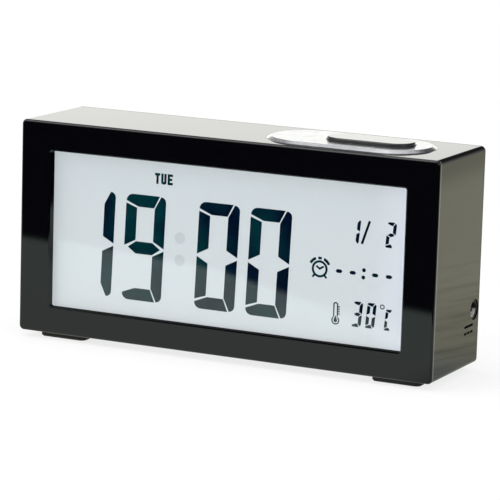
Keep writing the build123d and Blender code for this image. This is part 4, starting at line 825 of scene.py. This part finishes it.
# Painted shade: the pin is near black so that the socket's hollow reads dark.
PIN_PAINTED_SHADE = MetalFinish("pin_painted_shade", (0.030, 0.030, 0.031), (0.020, 0.020, 0.021), (0.34, 0.5))
# The resting segments carry the same painted glow.
LCD_GHOST = DisplayFinish("lcd_resting_segments", (0.191, 0.203, 0.211), (0.182, 0.197, 0.205))
LCD_DARK = InkFinish("lcd_dark_segments", (0.0004, 0.0045, 0.017), (0.0006, 0.026, 0.033))
SIGN_GREY = InkFinish("moulded_sign_grey", (0.10, 0.10, 0.10), (0.13, 0.13, 0.13), (0.5, 0.65), 0.5)
SIGN_DARK = InkFinish(
    "moulded_sign_dark", (0.003, 0.003, 0.003), (0.005, 0.005, 0.005), (0.5, 0.65))


def new_object(name: str, mesh: bmesh.types.BMesh,
               material: bpy.types.Material) -> bpy.types.Object:
    """Makes an object of a finished mesh, and frees the mesh.

    Args:
        name: the new object's name.
        mesh: its shape in the model's frame.
        material: what it wears.

    Returns:
        The object, linked to the scene.
    """
    bmesh.ops.recalc_face_normals(mesh, faces=mesh.faces[:])
    data = bpy.data.meshes.new(name)
    mesh.to_mesh(data)
    mesh.free()
    made = bpy.data.objects.new(name, data)
    bpy.context.scene.collection.objects.link(made)
    made.data.materials.append(material)
    return made


@dataclass
class MarkSheet:
    """Flat marks drawn on one plane in millimetres, then raised to a thin film."""

    name: str
    facing: Facing
    plane: float
    film: float
    mesh: bmesh.types.BMesh = field(default_factory=bmesh.new)

    CORNER_STEPS = 6
    LOZENGE_CUT = 0.42
    DISC_SIDES = 36
    DOT_SIDES = 24
    ARC_STEP = 9.0
    ARC_LEAST = 6

    def spot(self, point: Point) -> Vector:
        """Gives a point of the sheet in the model's frame.

        Args:
            point: place across and up the sheet in millimetres.

        Returns:
            The place in metres.
        """
        if self.facing is Facing.RIGHT:
            return Vector((self.plane, point[0], point[1])) * MM
        return Vector((point[0], self.plane, point[1])) * MM

    def polygon(self, points: Sequence[Point], at: Point = (0.0, 0.0),
                corner: Optional[int] = None, radius: float = 0.0) -> None:
        """Draws one flat shape.

        Args:
            points: its corners in order.
            at: the place that the corners are counted from.
            corner: index of the corner that is rounded, if any.
            radius: size of that rounding in millimetres.
        """
        verts = [self.mesh.verts.new(self.spot((at[0] + across, at[1] + up)))
                 for across, up in points]
        self.mesh.faces.new(verts)
        if corner is not None:
            bmesh.ops.bevel(self.mesh, geom=[verts[corner]], offset=radius * MM,
                            segments=self.CORNER_STEPS, profile=0.5, affect="VERTICES",
                            material=-1)

    def bar(self, start: Point, end: Point, width: float) -> None:
        """Draws a straight bar.

        Args:
            start: middle of one end.
            end: middle of the other end.
            width: its width in millimetres.
        """
        first, last = Vector(start), Vector(end)
        run = last - first
        side = Vector((-run.y, run.x)).normalized() * width / 2
        corners = (first - side, last - side, last + side, first + side)
        self.polygon([tuple(corner) for corner in corners])

    def dash(self, centre: Point, length: float, width: float) -> None:
        """Draws a level bar round its middle."""
        across, up = centre
        self.bar((across - length / 2, up), (across + length / 2, up), width)

    def lozenge(self, centre: Point, length: float, width: float) -> None:
        """Draws a bar with cut corners.

        Args:
            centre: its middle.
            length: its length across.
            width: its height.
        """
        half, tall, cut = length / 2, width / 2, width * self.LOZENGE_CUT
        self.polygon([(-half, cut - tall), (cut - half, -tall), (half - cut, -tall),
                      (half, cut - tall), (half, tall - cut), (half - cut, tall),
                      (cut - half, tall), (-half, tall - cut)], centre)

    def disc(self, centre: Point, radius: float, sides: int = DISC_SIDES) -> None:
        """Draws a filled circle.

        Args:
            centre: its middle.
            radius: its radius in millimetres.
            sides: number of its sides.
        """
        turn = Vector(self.facing.value).to_track_quat("Z", "Y").to_matrix().to_4x4()
        bmesh.ops.create_circle(self.mesh, cap_ends=True, radius=radius * MM, segments=sides,
                                matrix=Matrix.Translation(self.spot(centre)) @ turn)

    def dot(self, centre: Point, radius: float) -> None:
        """Draws a small filled circle."""
        self.disc(centre, radius, self.DOT_SIDES)

    def arc(self, centre: Point, radius: float, width: float, start: float = 0.0,
            end: float = FULL_TURN) -> None:
        """Draws a ring or a part of one.

        Args:
            centre: its middle.
            radius: its outer radius in millimetres.
            width: width of its line.
            start: angle of its start in degrees, from across towards up.
            end: angle of its end.
        """
        sweep = end - start
        angle = math.radians(start)
        middle, way = Vector(centre), Vector((math.cos(angle), math.sin(angle)))
        inner, outer = [self.mesh.verts.new(self.spot(tuple(middle + way * reach)))
                        for reach in (radius - width, radius)]
        edge = self.mesh.edges.new((inner, outer))
        across, up = [self.spot(step) - self.spot((0.0, 0.0)) for step in ((1.0, 0.0), (0.0, 1.0))]
        bmesh.ops.spin(self.mesh, geom=[inner, outer, edge], cent=self.spot(centre),
                       axis=across.cross(up).normalized(), angle=math.radians(sweep),
                       steps=max(self.ARC_LEAST, int(abs(sweep) / self.ARC_STEP)),
                       use_merge=abs(sweep) >= FULL_TURN, use_duplicate=False)

    def piece(self, finish: Finish, body: str, slot: str) -> None:
        """Raises the marks to a film and makes them a piece.

        Args:
            finish: what the piece wears.
            body: body that it rides on.
            slot: the record's slot that it belongs to; not used.
        """
        raised = bmesh.ops.extrude_face_region(self.mesh, geom=self.mesh.faces[:])
        verts = [item for item in raised["geom"] if isinstance(item, bmesh.types.BMVert)]
        bmesh.ops.translate(self.mesh, verts=verts, vec=Vector(self.facing.value) * self.film * MM)
        made = new_object(self.name, self.mesh, finish.material())
        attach(made, body)
        LOG.info("piece %s on %s, %d faces", self.name, body, len(made.data.polygons))


@dataclass(frozen=True)
class Digit:
    """Seven bars of one digit, in millimetres."""

    width: float
    height: float
    stroke: float
    gap: float
    slant: float
    ease: float = 0.0

    LIT = {
        "0": "abcdef", "1": "bc", "2": "abdeg", "3": "abcdg", "9": "abcdfg", "C": "adef",
    }
    # Shares of the stroke: the mitres at the left and the right, the middle bar's tips, and the
    # rounding of upright and level bars.
    LEFT_CUT = 0.66
    RIGHT_CUT = 0.53
    TIP = 0.33
    UPRIGHT_ROUND = 0.47
    LEVEL_ROUND = 0.6
    # Shares of half the gap, which the corners of neighbouring bars keep clear of each other.
    EDGE = 0.1
    CROWN = 0.4
    SHOULDER = 0.5
    MITRE = 0.6
    HEEL = 0.8
    POINT = 0.9
    WAIST = 1.1
    SHELF = 1.3

    def outline(self, segment: Segment) -> Tuple[List[Point], Optional[int]]:
        """Works out one bar, with the left end of the digit's half height at nought.

        Args:
            segment: which bar.

        Returns:
            Its corners, and the index of the rounded outer one.
        """
        wide, half, bar, slit = self.width, self.height / 2, self.stroke, self.gap / 2
        inner, shelf, mid = wide - bar, half - bar, bar / 2
        left_cut, right_cut = half - self.LEFT_CUT * bar, wide - self.RIGHT_CUT * bar
        waist, point, mitre = mid + self.WAIST * slit, self.POINT * slit, self.MITRE * slit
        if segment is Segment.MIDDLE:
            tip, clear = self.TIP * bar, self.SHOULDER * slit
            near, far = bar + clear, inner - clear
            return [(tip, 0.0), (near, mid), (far, mid), (wide - tip, 0.0), (far, -mid),
                    (near, -mid)], None
        if segment in (Segment.TOP, Segment.BOTTOM):
            rounded: Optional[int] = 1
            edge = self.EDGE * slit
            shape = [(edge, left_cut + slit), (edge, half), (right_cut - mitre, half),
                     (inner - mitre, shelf), (bar + self.SHELF * slit, shelf)]
        elif segment in (Segment.UPPER_RIGHT, Segment.LOWER_RIGHT):
            rounded = 2
            end = half - self.CROWN * slit - self.ease
            shape = [(inner, waist), (wide, point), (wide, end), (right_cut + mitre, end),
                     (inner, shelf - self.HEEL * slit)]
        else:
            rounded = None
            shape = [(bar, waist), (bar, shelf - slit), (0.0, left_cut - slit), (0.0, point)]
        upper = segment in (Segment.TOP, Segment.UPPER_RIGHT, Segment.UPPER_LEFT)
        way = 1.0 if upper else -1.0
        return [(across, up * way) for across, up in shape], rounded

    def draw(self, sheet: MarkSheet, sign: str, place: Point) -> None:
        """Draws a digit on a sheet.

        Args:
            sheet: where it is drawn.
            sign: which digit.
            place: its right edge and its half height on the sheet.
        """
        right, middle = place
        for letter in self.LIT[sign]:
            points, corner = self.outline(Segment(letter))
            leaning = [(across + self.slant * up, up) for across, up in points]
            share = self.UPRIGHT_ROUND if letter in "bc" else self.LEVEL_ROUND
            sheet.polygon(leaning, (right - self.width, middle), corner, share * self.stroke)


SLIM_DIGIT = Digit(3.05, 8.0, 1.08, 0.32, 0.09, 0.3)


@dataclass
class DisplayMarks:
    """A group of marks that the liquid crystal shows, as films on its front glass."""

    film: float = 0.04

    def sheet(self, name: str) -> MarkSheet:
        """Starts a sheet on the display's front glass."""
        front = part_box("lcd_front_glass")[0].y / MM
        return MarkSheet(name, Facing.FRONT, front, self.film)

    @staticmethod
    def show(sheet: MarkSheet, finish: Finish = LCD_DARK) -> None:
        """Makes a sheet a piece of the display."""
        sheet.piece(finish, "case", "lcd_pale")


@dataclass
class TimeMarks(DisplayMarks):
    """The large time and the resting colon, in millimetres."""

    digit: Digit = Digit(14.2, 34.3, 3.95, 0.8, 0.035)
    signs: Tuple[Tuple[str, float], ...] = (("1", -40.3), ("9", -22.2), ("0", 3.8), ("0", 21.8))
    middle: float = 33.0
    colon: Tuple[Point, Point] = ((-16.51, 37.64), (-16.45, 30.50))
    colon_radius: float = 1.85

    def build(self) -> None:
        """Builds the four digits and the two dots."""
        sheet = self.sheet("lcd_time_segments")
        for sign, right in self.signs:
            self.digit.draw(sheet, sign, (right, self.middle))
        self.show(sheet)
        sheet = self.sheet("lcd_colon_dots")
        for spot in self.colon:
            sheet.disc(spot, self.colon_radius)
        self.show(sheet, LCD_GHOST)


@dataclass
class WeekdayMarks(DisplayMarks):
    """The three block letters of the weekday, in millimetres."""

    corner: Point = (-25.9, 54.2)
    wide: float = 1.85
    tall: float = 3.45
    step: float = 2.27
    line: float = 0.78
    cut: float = 0.4
    short: float = 0.25

    def build(self) -> None:
        """Builds the letters from the left."""
        sheet = self.sheet("lcd_weekday")
        wide, tall, line, cut = self.wide, self.tall, self.line, self.cut
        left, right, under = (wide - line) / 2, (wide + line) / 2, tall - line
        low, high, tongue = (tall - line) / 2, (tall + line) / 2, wide - self.short
        letters = (
            [(0.0, tall), (0.0, under), (left, under), (left, 0.0), (right, 0.0), (right, under),
             (wide, under), (wide, tall)],
            [(0.0, tall), (0.0, cut), (cut, 0.0), (wide - cut, 0.0), (wide, cut), (wide, tall),
             (wide - line, tall), (wide - line, line), (line, line), (line, tall)],
            [(0.0, tall), (0.0, 0.0), (wide, 0.0), (wide, line), (line, line), (line, low),
             (tongue, low), (tongue, high), (line, high), (line, under), (wide, under),
             (wide, tall)],
        )
        for index, shape in enumerate(letters):
            sheet.polygon(shape, (self.corner[0] + index * self.step, self.corner[1]))
        self.show(sheet)


@dataclass
class DateMarks(DisplayMarks):
    """The month, the slash and the day, in millimetres."""

    month: Point = (45.35, 46.15)
    slash: Tuple[Point, Point] = ((46.15, 42.55), (48.55, 49.85))
    slash_line: float = 0.78
    day: Point = (57.3, 46.25)

    def build(self) -> None:
        """Builds the date from the left."""
        sheet = self.sheet("lcd_date")
        SLIM_DIGIT.draw(sheet, "1", self.month)
        sheet.bar(*self.slash, self.slash_line)
        SLIM_DIGIT.draw(sheet, "2", self.day)
        self.show(sheet)


@dataclass
class AlarmMarks(DisplayMarks):
    """The alarm sign and the empty alarm time, in millimetres."""

    sign: Point = (32.25, 33.2)
    ring: Span = (2.7, 0.72)
    ear: Span = (3.78, 0.88)
    ear_shift: Point = (0.12, 0.1)
    ear_lean: float = 47.0
    ear_half: float = 21.0
    foot: Tuple[Point, Point] = ((1.7, -1.95), (2.4, -2.75))
    foot_line: float = 0.66
    knob: Triple = (3.4, 1.2, 0.8)
    hands: Tuple[Point, ...] = ((-1.35, 0.62), (-1.0, 1.15), (0.0, 0.42), (1.25, 1.15),
                                (1.55, 0.62), (0.0, -0.35))
    blanks: Tuple[float, ...] = (38.81, 43.44, 50.96, 55.56)
    blank_middle: float = 33.22
    blank: Span = (2.2, 1.15)
    colon: Tuple[Point, Point] = ((47.19, 34.43), (47.04, 32.13))
    colon_radius: float = 0.63

    def build(self) -> None:
        """Builds the sign, then the blanks and the dots."""
        sheet = self.sheet("lcd_alarm_row")
        across, up = self.sign
        sheet.arc(self.sign, *self.ring)
        for way, lean in ((-1.0, FULL_TURN / 2 - self.ear_lean), (1.0, self.ear_lean)):
            centre = (across + way * self.ear_shift[0], up + self.ear_shift[1])
            sheet.arc(centre, *self.ear, lean - self.ear_half, lean + self.ear_half)
            start, end = [(across + way * out, up + rise) for out, rise in self.foot]
            sheet.bar(start, end, self.foot_line)
        rise, length, width = self.knob
        sheet.dash((across, up + rise), length, width)
        sheet.polygon(self.hands, self.sign)
        for middle in self.blanks:
            sheet.lozenge((middle, self.blank_middle), *self.blank)
        for spot in self.colon:
            sheet.dot(spot, self.colon_radius)
        self.show(sheet)


@dataclass
class DegreeMarks(DisplayMarks):
    """The thermometer sign, the degrees and their unit, in millimetres."""

    bulb: Point = (38.15, 17.65)
    bulb_radius: float = 1.35
    top: float = 22.6
    neck: float = 0.82
    line: float = 0.40
    collar: float = 1.15
    core: float = 0.62
    column: Tuple[Point, Point] = ((0.45, 0.43), (0.08, 1.5))
    ticks: int = 4
    tick_low: float = 19.75
    tick_step: float = 0.75
    tick: Span = (0.6, 0.36)
    tens: Point = (47.05, 20.4)
    ones: Point = (51.55, 20.45)
    degree: Point = (53.75, 23.65)
    degree_ring: Span = (0.78, 0.30)
    letter: Digit = Digit(2.55, 6.6, 0.9, 0.3, 0.09)
    letter_place: Point = (57.3, 19.75)

    def build(self) -> None:
        """Builds the thermometer, then the figures."""
        sheet = self.sheet("lcd_temperature")
        across, low = self.bulb
        lean = math.degrees(math.asin(self.neck / self.bulb_radius))
        quarter = FULL_TURN / 4
        sheet.arc(self.bulb, self.bulb_radius, self.line, quarter + lean,
                  FULL_TURN + quarter - lean)
        sheet.arc((across, self.top), self.neck, self.line, 0.0, FULL_TURN / 2)
        for way in (-1.0, 1.0):
            edge = across + way * (self.neck - self.line / 2)
            sheet.bar((edge, low + self.collar), (edge, self.top), self.line)
        sheet.dot(self.bulb, self.core)
        (foot, start), (tip, end) = self.column
        sheet.polygon([(-foot, start), (foot, start), (tip, end), (-tip, end)], self.bulb)
        length, width = self.tick
        for step in range(self.ticks):
            height = self.tick_low + self.tick_step * step
            sheet.dash((across + self.neck + length / 2, height), length, width)
        SLIM_DIGIT.draw(sheet, "3", self.tens)
        SLIM_DIGIT.draw(sheet, "0", self.ones)
        sheet.arc(self.degree, *self.degree_ring)
        self.letter.draw(sheet, "C", self.letter_place)
        self.show(sheet)


@dataclass
class SnoozeDome:
    """Silicone dome that the snooze key presses flat, in millimetres."""

    crown: float = 2.2
    wall: float = 0.6
    travel: float = 0.8
    steps: int = 48

    def build(self) -> None:
        """Builds the dome in its node's place, and hides the node's own dome."""
        low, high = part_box("snooze_dome")
        centre = Vector(((low.x + high.x) / 2, (low.y + high.y) / 2, low.z))
        foot, tall = (high.x - low.x) / 2 / MM, (high.z - low.z) / MM
        wall, crown = self.wall, self.crown
        profile = ((0.0, tall), (crown, tall), (crown, tall - wall), (foot - wall, wall),
                   (foot, wall), (foot, 0.0), (foot - 2 * wall, 0.0),
                   (crown - wall, tall - 2 * wall), (0.0, tall - 2 * wall))
        mesh = bmesh.new()
        line = [mesh.verts.new(centre + Vector((out, 0.0, up)) * MM) for out, up in profile]
        edges = [mesh.edges.new(pair) for pair in zip(line, line[1:])]
        bmesh.ops.spin(mesh, geom=line + edges, cent=centre, axis=(0.0, 0.0, 1.0),
                       angle=math.radians(FULL_TURN), steps=self.steps, use_merge=True,
                       use_duplicate=False)
        bmesh.ops.remove_doubles(mesh, verts=mesh.verts[:], dist=WELD)
        made = new_object("snooze_dome_soft", mesh, SLOT_FINISH["dome_silicone"].material())
        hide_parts("snooze_dome")
        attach(made, "case")
        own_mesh(made)
        LOG.info("piece snooze_dome_soft on case, %d faces", len(made.data.polygons))


@dataclass
class SideSign:
    """Moulded sign for direct current by the power socket, in millimetres."""

    length: float = 6.6
    line: float = 0.75
    gap: float = 2.1
    rise: float = 0.06
    height: float = 15.4
    shift: float = -3.7
    dashes: int = 3
    pitch: float = 1.5

    def build(self) -> None:
        """Builds a bar over three dashes under the socket."""
        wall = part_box("front_case")[1].x / MM
        low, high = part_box("socket_body")
        middle = (low.y + high.y) / 2 / MM + self.shift
        sheet = MarkSheet("socket_sign", Facing.RIGHT, wall, self.rise)
        sheet.dash((middle, self.height), self.length, self.line)
        dash = self.length / (self.dashes + 1)
        for index in range(self.dashes):
            place = middle + (index - (self.dashes - 1) / 2) * dash * self.pitch
            sheet.dash((place, self.height - self.gap), dash, self.line)
        sheet.piece(SIGN_DARK, "case", "case_gloss")


@dataclass
class RearSigns:
    """Raised signs on the rear buttons, the cover and the battery door, in millimetres."""

    rise: float = 0.12
    reach: float = 1.15
    line: float = 0.36
    row: float = 0.75
    dot: float = 0.4
    low: float = 0.7
    pocket: float = 1.0
    slide_reach: float = 4.6
    slide_mark: float = 0.7
    arrow_drop: float = 12.0
    arrow: Span = (4.4, 2.4)

    def sheet(self, name: str, node: str) -> Tuple[MarkSheet, Point]:
        """Starts a sheet on a node's rear face.

        Args:
            name: the new piece's name.
            node: the CAD node that carries it.

        Returns:
            The sheet, and the middle of the node.
        """
        low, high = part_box(node)
        centre = ((low.x + high.x) / 2 / MM, (low.z + high.z) / 2 / MM)
        return MarkSheet(name, Facing.BACK, high.y / MM, self.rise), centre

    def build(self) -> None:
        """Builds all the rear signs."""
        self.build_button_signs()
        self.build_slide_marks()
        self.build_door_arrow()

    def build_button_signs(self) -> None:
        """Builds three lines, a ring with a dot, and an arrow up and one down."""
        reach = self.reach
        sheet, (across, up) = self.sheet("mode_button_sign", "mode_button")
        for step in (-1, 0, 1):
            sheet.dash((across, up + step * self.row), 2 * reach, self.line)
        sheet.piece(SIGN_GREY, "mode_control", "button_gloss")
        sheet, centre = self.sheet("set_button_sign", "set_button")
        sheet.arc(centre, reach, self.line)
        sheet.dot(centre, self.dot)
        sheet.piece(SIGN_GREY, "set_control", "button_gloss")
        for body, way in (("up", 1.0), ("down", -1.0)):
            sheet, centre = self.sheet(f"{body}_button_sign", f"{body}_button")
            base = -way * reach * self.low
            sheet.polygon([(-reach, base), (reach, base), (0.0, way * reach)], centre)
            sheet.piece(SIGN_GREY, f"{body}_control", "button_gloss")

    def build_slide_marks(self) -> None:
        """Builds a ring at the slide's off end and a dot at its on end, on the pocket's floor."""
        sheet, (across, up) = self.sheet("alarm_slide_marks", "alarm_switch")
        sheet.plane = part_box("back_cover")[1].y / MM - self.pocket
        radius = self.slide_mark * self.reach
        sheet.arc((across - self.slide_reach, up), radius, self.line)
        sheet.dot((across + self.slide_reach, up), radius)
        sheet.piece(SIGN_GREY, "case", "cover_satin")

    def build_door_arrow(self) -> None:
        """Builds the arrow under the door's latch."""
        sheet, (across, _) = self.sheet("door_arrow", "battery_door")
        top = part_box("battery_door")[1].z / MM - self.arrow_drop
        wide, tall = self.arrow
        sheet.polygon([(-wide / 2, 0.0), (wide / 2, 0.0), (0.0, -tall)], (across, top))
        sheet.piece(SLOT_FINISH["knob_black"], "door", "cover_satin")


@dataclass
class Dressing:
    """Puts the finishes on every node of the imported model."""

    cells: Tuple[Tuple[str, bool], ...] = (
        ("battery_1", False), ("battery_2", True), ("battery_3", False),
    )
    # Where the sleeve has its painted patch of light: depth from its mouth, height from its middle,
    # in millimetres.
    light_depth: Span = (1.7, 1.3)
    light_top: Span = (0.1, -0.4)

    def build(self) -> None:
        """Dresses each node by its slot, and the cells and the socket by themselves."""
        own: Dict[str, Finish] = {name: self.cell(name, turned) for name, turned in self.cells}
        own["alarm_switch"] = SLOT_FINISH["switch_black"]
        # The sleeve and the pin carry painted light and painted shade of the socket's hollow.
        own["socket_sleeve"] = self.sleeve("socket_sleeve")
        own["socket_pin"] = PIN_PAINTED_SHADE
        for part in frame["record"]["subparts"]:
            node, slot = part["node"], part["material_slot"]
            finish = own.get(node) or SLOT_FINISH[slot]
            made = frame["nodes"][node]
            made.data.materials.clear()
            made.data.materials.append(finish.material())
            LOG.info("node %s wears %s", node, finish.name)

    def sleeve(self, node: str) -> SleeveFinish:
        """Gives the socket's sleeve its painted patch of light and its painted shade.

        Args:
            node: the sleeve's node.

        Returns:
            The sleeve's finish.
        """
        low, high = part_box(node)
        middle = (low.z + high.z) / 2
        mouth = tuple(high.x - depth * MM for depth in self.light_depth)
        return SleeveFinish("sleeve_painted_light_and_shade", mouth, tuple(middle + up * MM for up in self.light_top))

    @staticmethod
    def cell(node: str, turned: bool) -> CellFinish:
        """Gives a cell its jacket.

        Args:
            node: the cell's node.
            turned: True where its nub looks to the left.

        Returns:
            The jacket's finish.
        """
        low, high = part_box(node)
        return CellFinish(f"{node}_jacket", low.x, high.x, turned)


@dataclass(frozen=True)
class Lamp:
    """A soft lamp that the camera doesn't see, in metres and watts."""

    name: str
    place: Triple
    size: Span
    power: float
    aim: Triple = (0.0, 0.0, 0.03)
    colour: Colour = (1.0, 1.0, 1.0)

    def build(self) -> None:
        """Hangs the lamp."""
        data = bpy.data.lights.new(self.name, "AREA")
        data.shape = "RECTANGLE"
        data.size, data.size_y = self.size
        data.energy = self.power
        data.color = self.colour
        made = bpy.data.objects.new(self.name, data)
        made.location = self.place
        way = Vector(self.aim) - Vector(self.place)
        made.rotation_euler = way.to_track_quat("-Z", "Y").to_euler()
        made.visible_camera = False
        bpy.context.scene.collection.objects.link(made)
        LOG.info("lamp %s", self.name)


@dataclass
class Studio:
    """Pale floor, white surround and soft lamps, in metres."""

    lamps: Tuple[Lamp, ...] = (
        Lamp("lamp_behind", (-0.70, 1.45, 0.30), (2.8, 0.46), 4.9, (0.0, 0.0, 0.05),
             (1.0, 1.0, 0.95)),
        Lamp("lamp_key", (-0.95, -1.15, 1.25), (1.2, 1.2), 12.0),
        Lamp("lamp_fill", (1.3, -0.5, 0.95), (1.0, 1.0), 3.0),
        Lamp("lamp_above", (-0.15, -0.15, 1.6), (1.1, 0.7), 8.0),
    )
    floor_half: float = 4.0
    floor_paint: Colour = (0.88, 0.88, 0.87)
    floor_white: float = 0.8
    # What a polished face mirrors in the floor, from the dark before the table's edge to the back.
    mirrored_span: Span = (-0.5, 0.5)
    table_edge: float = -0.1332
    edge_lean: float = -0.240
    edge_blur: float = 0.006
    before_edge: Colour = (0.008, 0.009, 0.014)
    after_edge: Colour = (0.73, 0.88, 0.79)
    behind_edge: Stops = ((0.48, (0.76, 0.82, 0.76)), (0.53, (1.0, 0.98, 0.76)))
    # Shade and streaks in what the right side mirrors.
    beside_span: Span = (0.05, 0.25)
    beside_shade: Stops = ((0.02, 1.0), (0.125, 0.62), (0.225, 0.76), (0.45, 1.0), (0.78, 1.0),
                           (0.92, 0.72))
    streak_scale: Triple = (190.0, 20.0, 1.0)
    streak_turn: float = math.radians(-16.0)
    streak_span: Span = (0.45, 0.70)
    streak_depth: Span = (-0.05, 0.24)
    streak_reach: Stops = ((0.06, 0.0), (0.12, 1.0), (0.26, 1.0), (0.60, 0.12))
    # Surround: its light, and the tones by height that gloss mirrors behind and before the clock.
    fill_light: float = 0.78
    gloss_tones: Tuple[Span, ...] = ((0.0, 0.55), (0.2, 0.30), (0.32, 0.05), (0.70, 0.05),
                                     (0.82, 0.75))
    gloss_blue: float = 1.02
    gloss_before: Colour = (0.48, 0.48, 0.49)
    turn_back: Span = (-0.25, 0.35)
    turn_aside: Span = (-0.68, -0.46)

    def build(self) -> None:
        """Builds the floor, the surround and the lamps."""
        bpy.context.scene.view_settings.view_transform = "Standard"
        self.build_floor()
        self.build_surround()
        for lamp in self.lamps:
            lamp.build()

    def build_floor(self) -> None:
        """Builds the floor, which is white to the camera and keeps the shadow."""
        mesh = bmesh.new()
        bmesh.ops.create_grid(mesh, x_segments=1, y_segments=1, size=self.floor_half)
        new_object("floor", mesh, self.floor_material())
        LOG.info("floor")

    def floor_material(self) -> bpy.types.Material:
        """Builds the floor's paint and what a polished face mirrors in it.

        Returns:
            The floor's material.
        """
        sheet = MaterialSheet("pale_floor")
        paint = sheet.node("ShaderNodeBsdfDiffuse", Color=(*self.floor_paint, 1.0))
        white = sheet.node("ShaderNodeEmission", Color=WHITE, Strength=1.0)
        mirrored = sheet.node("ShaderNodeEmission", Color=self.mirrored_tone(sheet),
                              Strength=self.mirrored_shade(sheet))
        rays = sheet.rays()
        seen = sheet.mix(sheet.math("MULTIPLY", rays["Is Camera Ray"], self.floor_white),
                         paint.outputs["BSDF"], white.outputs["Emission"])
        polished = sheet.math("MAXIMUM", rays["Is Glossy Ray"], rays["Is Transmission Ray"])
        sheet.surface(sheet.mix(polished, seen, mirrored.outputs["Emission"]))
        return sheet.material

    def mirrored_tone(self, sheet: MaterialSheet) -> Socket:
        """Builds the mirrored colours from before the table's edge to behind the clock.

        Args:
            sheet: the floor's nodes.

        Returns:
            The colour socket.
        """
        axes = sheet.axes()
        ahead = sheet.math("MULTIPLY_ADD", axes["X"], self.edge_lean, axes["Y"])
        edge = self.table_edge - self.mirrored_span[0]
        stops = ((edge - self.edge_blur, self.before_edge),
                 (edge + self.edge_blur, self.after_edge), *self.behind_edge)
        return sheet.ramp(sheet.share(ahead, self.mirrored_span), stops)

    def mirrored_shade(self, sheet: MaterialSheet) -> Socket:
        """Builds the shade and the streaks of what the right side mirrors.

        Args:
            sheet: the floor's nodes.

        Returns:
            The strength socket.
        """
        beside = sheet.share(sheet.axes()["X"], self.beside_span)
        grain = sheet.noise(1.0, FINE_DETAIL, self.streak_scale, self.streak_turn)
        streaks = sheet.math("MULTIPLY", sheet.span(grain, *self.streak_depth, *self.streak_span),
                             sheet.ramp(beside, self.streak_reach))
        return sheet.math("MULTIPLY", sheet.math("SUBTRACT", 1.0, streaks),
                          sheet.ramp(beside, self.beside_shade))

    def build_surround(self) -> None:
        """Builds the white surround and the dimmer one that gloss mirrors."""
        world = bpy.data.worlds.new("studio")
        bpy.context.scene.world = world
        world.use_nodes = True
        sheet = NodeSheet(world.node_tree, "Generated")
        axes, rays = sheet.axes(), sheet.rays()
        stops = [(height, (tone, tone, tone * self.gloss_blue))
                 for height, tone in self.gloss_tones]
        behind = sheet.math("MULTIPLY", sheet.share(axes["Y"], self.turn_back),
                            sheet.share(axes["X"], self.turn_aside))
        tone = sheet.blend(behind, self.gloss_before, sheet.ramp(axes["Z"], stops, Fade.EVEN))
        fill, gloss, white = [
            sheet.node("ShaderNodeBackground", Color=colour,
                       Strength=strength).outputs["Background"]
            for colour, strength in ((WHITE, self.fill_light), (tone, 1.0), (WHITE, 1.0))
        ]
        lit = sheet.mix(rays["Is Glossy Ray"], fill, gloss)
        sheet.node("ShaderNodeOutputWorld", Surface=sheet.mix(rays["Is Camera Ray"], lit, white))


@dataclass
class Viewpoint:
    """The camera, in millimetres of the model's frame."""

    eye: Triple = (407.6, -844.65, 209.6)
    target: Triple = (1.175, -0.55, 33.49)
    roll: float = 1.704
    lens: float = 215.94
    film: float = 36.0
    clip: Span = (10.0, 50000.0)

    def build(self) -> None:
        """Sets up the camera at the picture's angle."""
        eye, target = Vector(self.eye) * MM, Vector(self.target) * MM
        ahead = (target - eye).normalized()
        across = ahead.cross(Vector((0.0, 0.0, 1.0))).normalized()
        up = across.cross(ahead)
        turn = math.radians(self.roll)
        right = across * math.cos(turn) + up * math.sin(turn)
        top = up * math.cos(turn) - across * math.sin(turn)
        data = bpy.data.cameras.new("camera")
        data.lens, data.sensor_width = self.lens, self.film
        data.clip_start, data.clip_end = [end * MM for end in self.clip]
        made = bpy.data.objects.new("camera", data)
        pose = Matrix((right, top, -ahead)).transposed().to_4x4()
        made.matrix_world = Matrix.Translation(eye) @ pose
        bpy.context.scene.collection.objects.link(made)
        bpy.context.scene.camera = made
        LOG.info("camera")


def main() -> None:
    """Builds the dressed clock, its studio and its camera."""
    logging.basicConfig(level=logging.INFO, format="%(message)s")
    Viewpoint().build()
    Dressing().build()
    for marks in (TimeMarks(), WeekdayMarks(), DateMarks(), AlarmMarks(), DegreeMarks()):
        marks.build()
    SnoozeDome().build()
    SideSign().build()
    RearSigns().build()
    Studio().build()


if __name__ == "__main__":
    main()
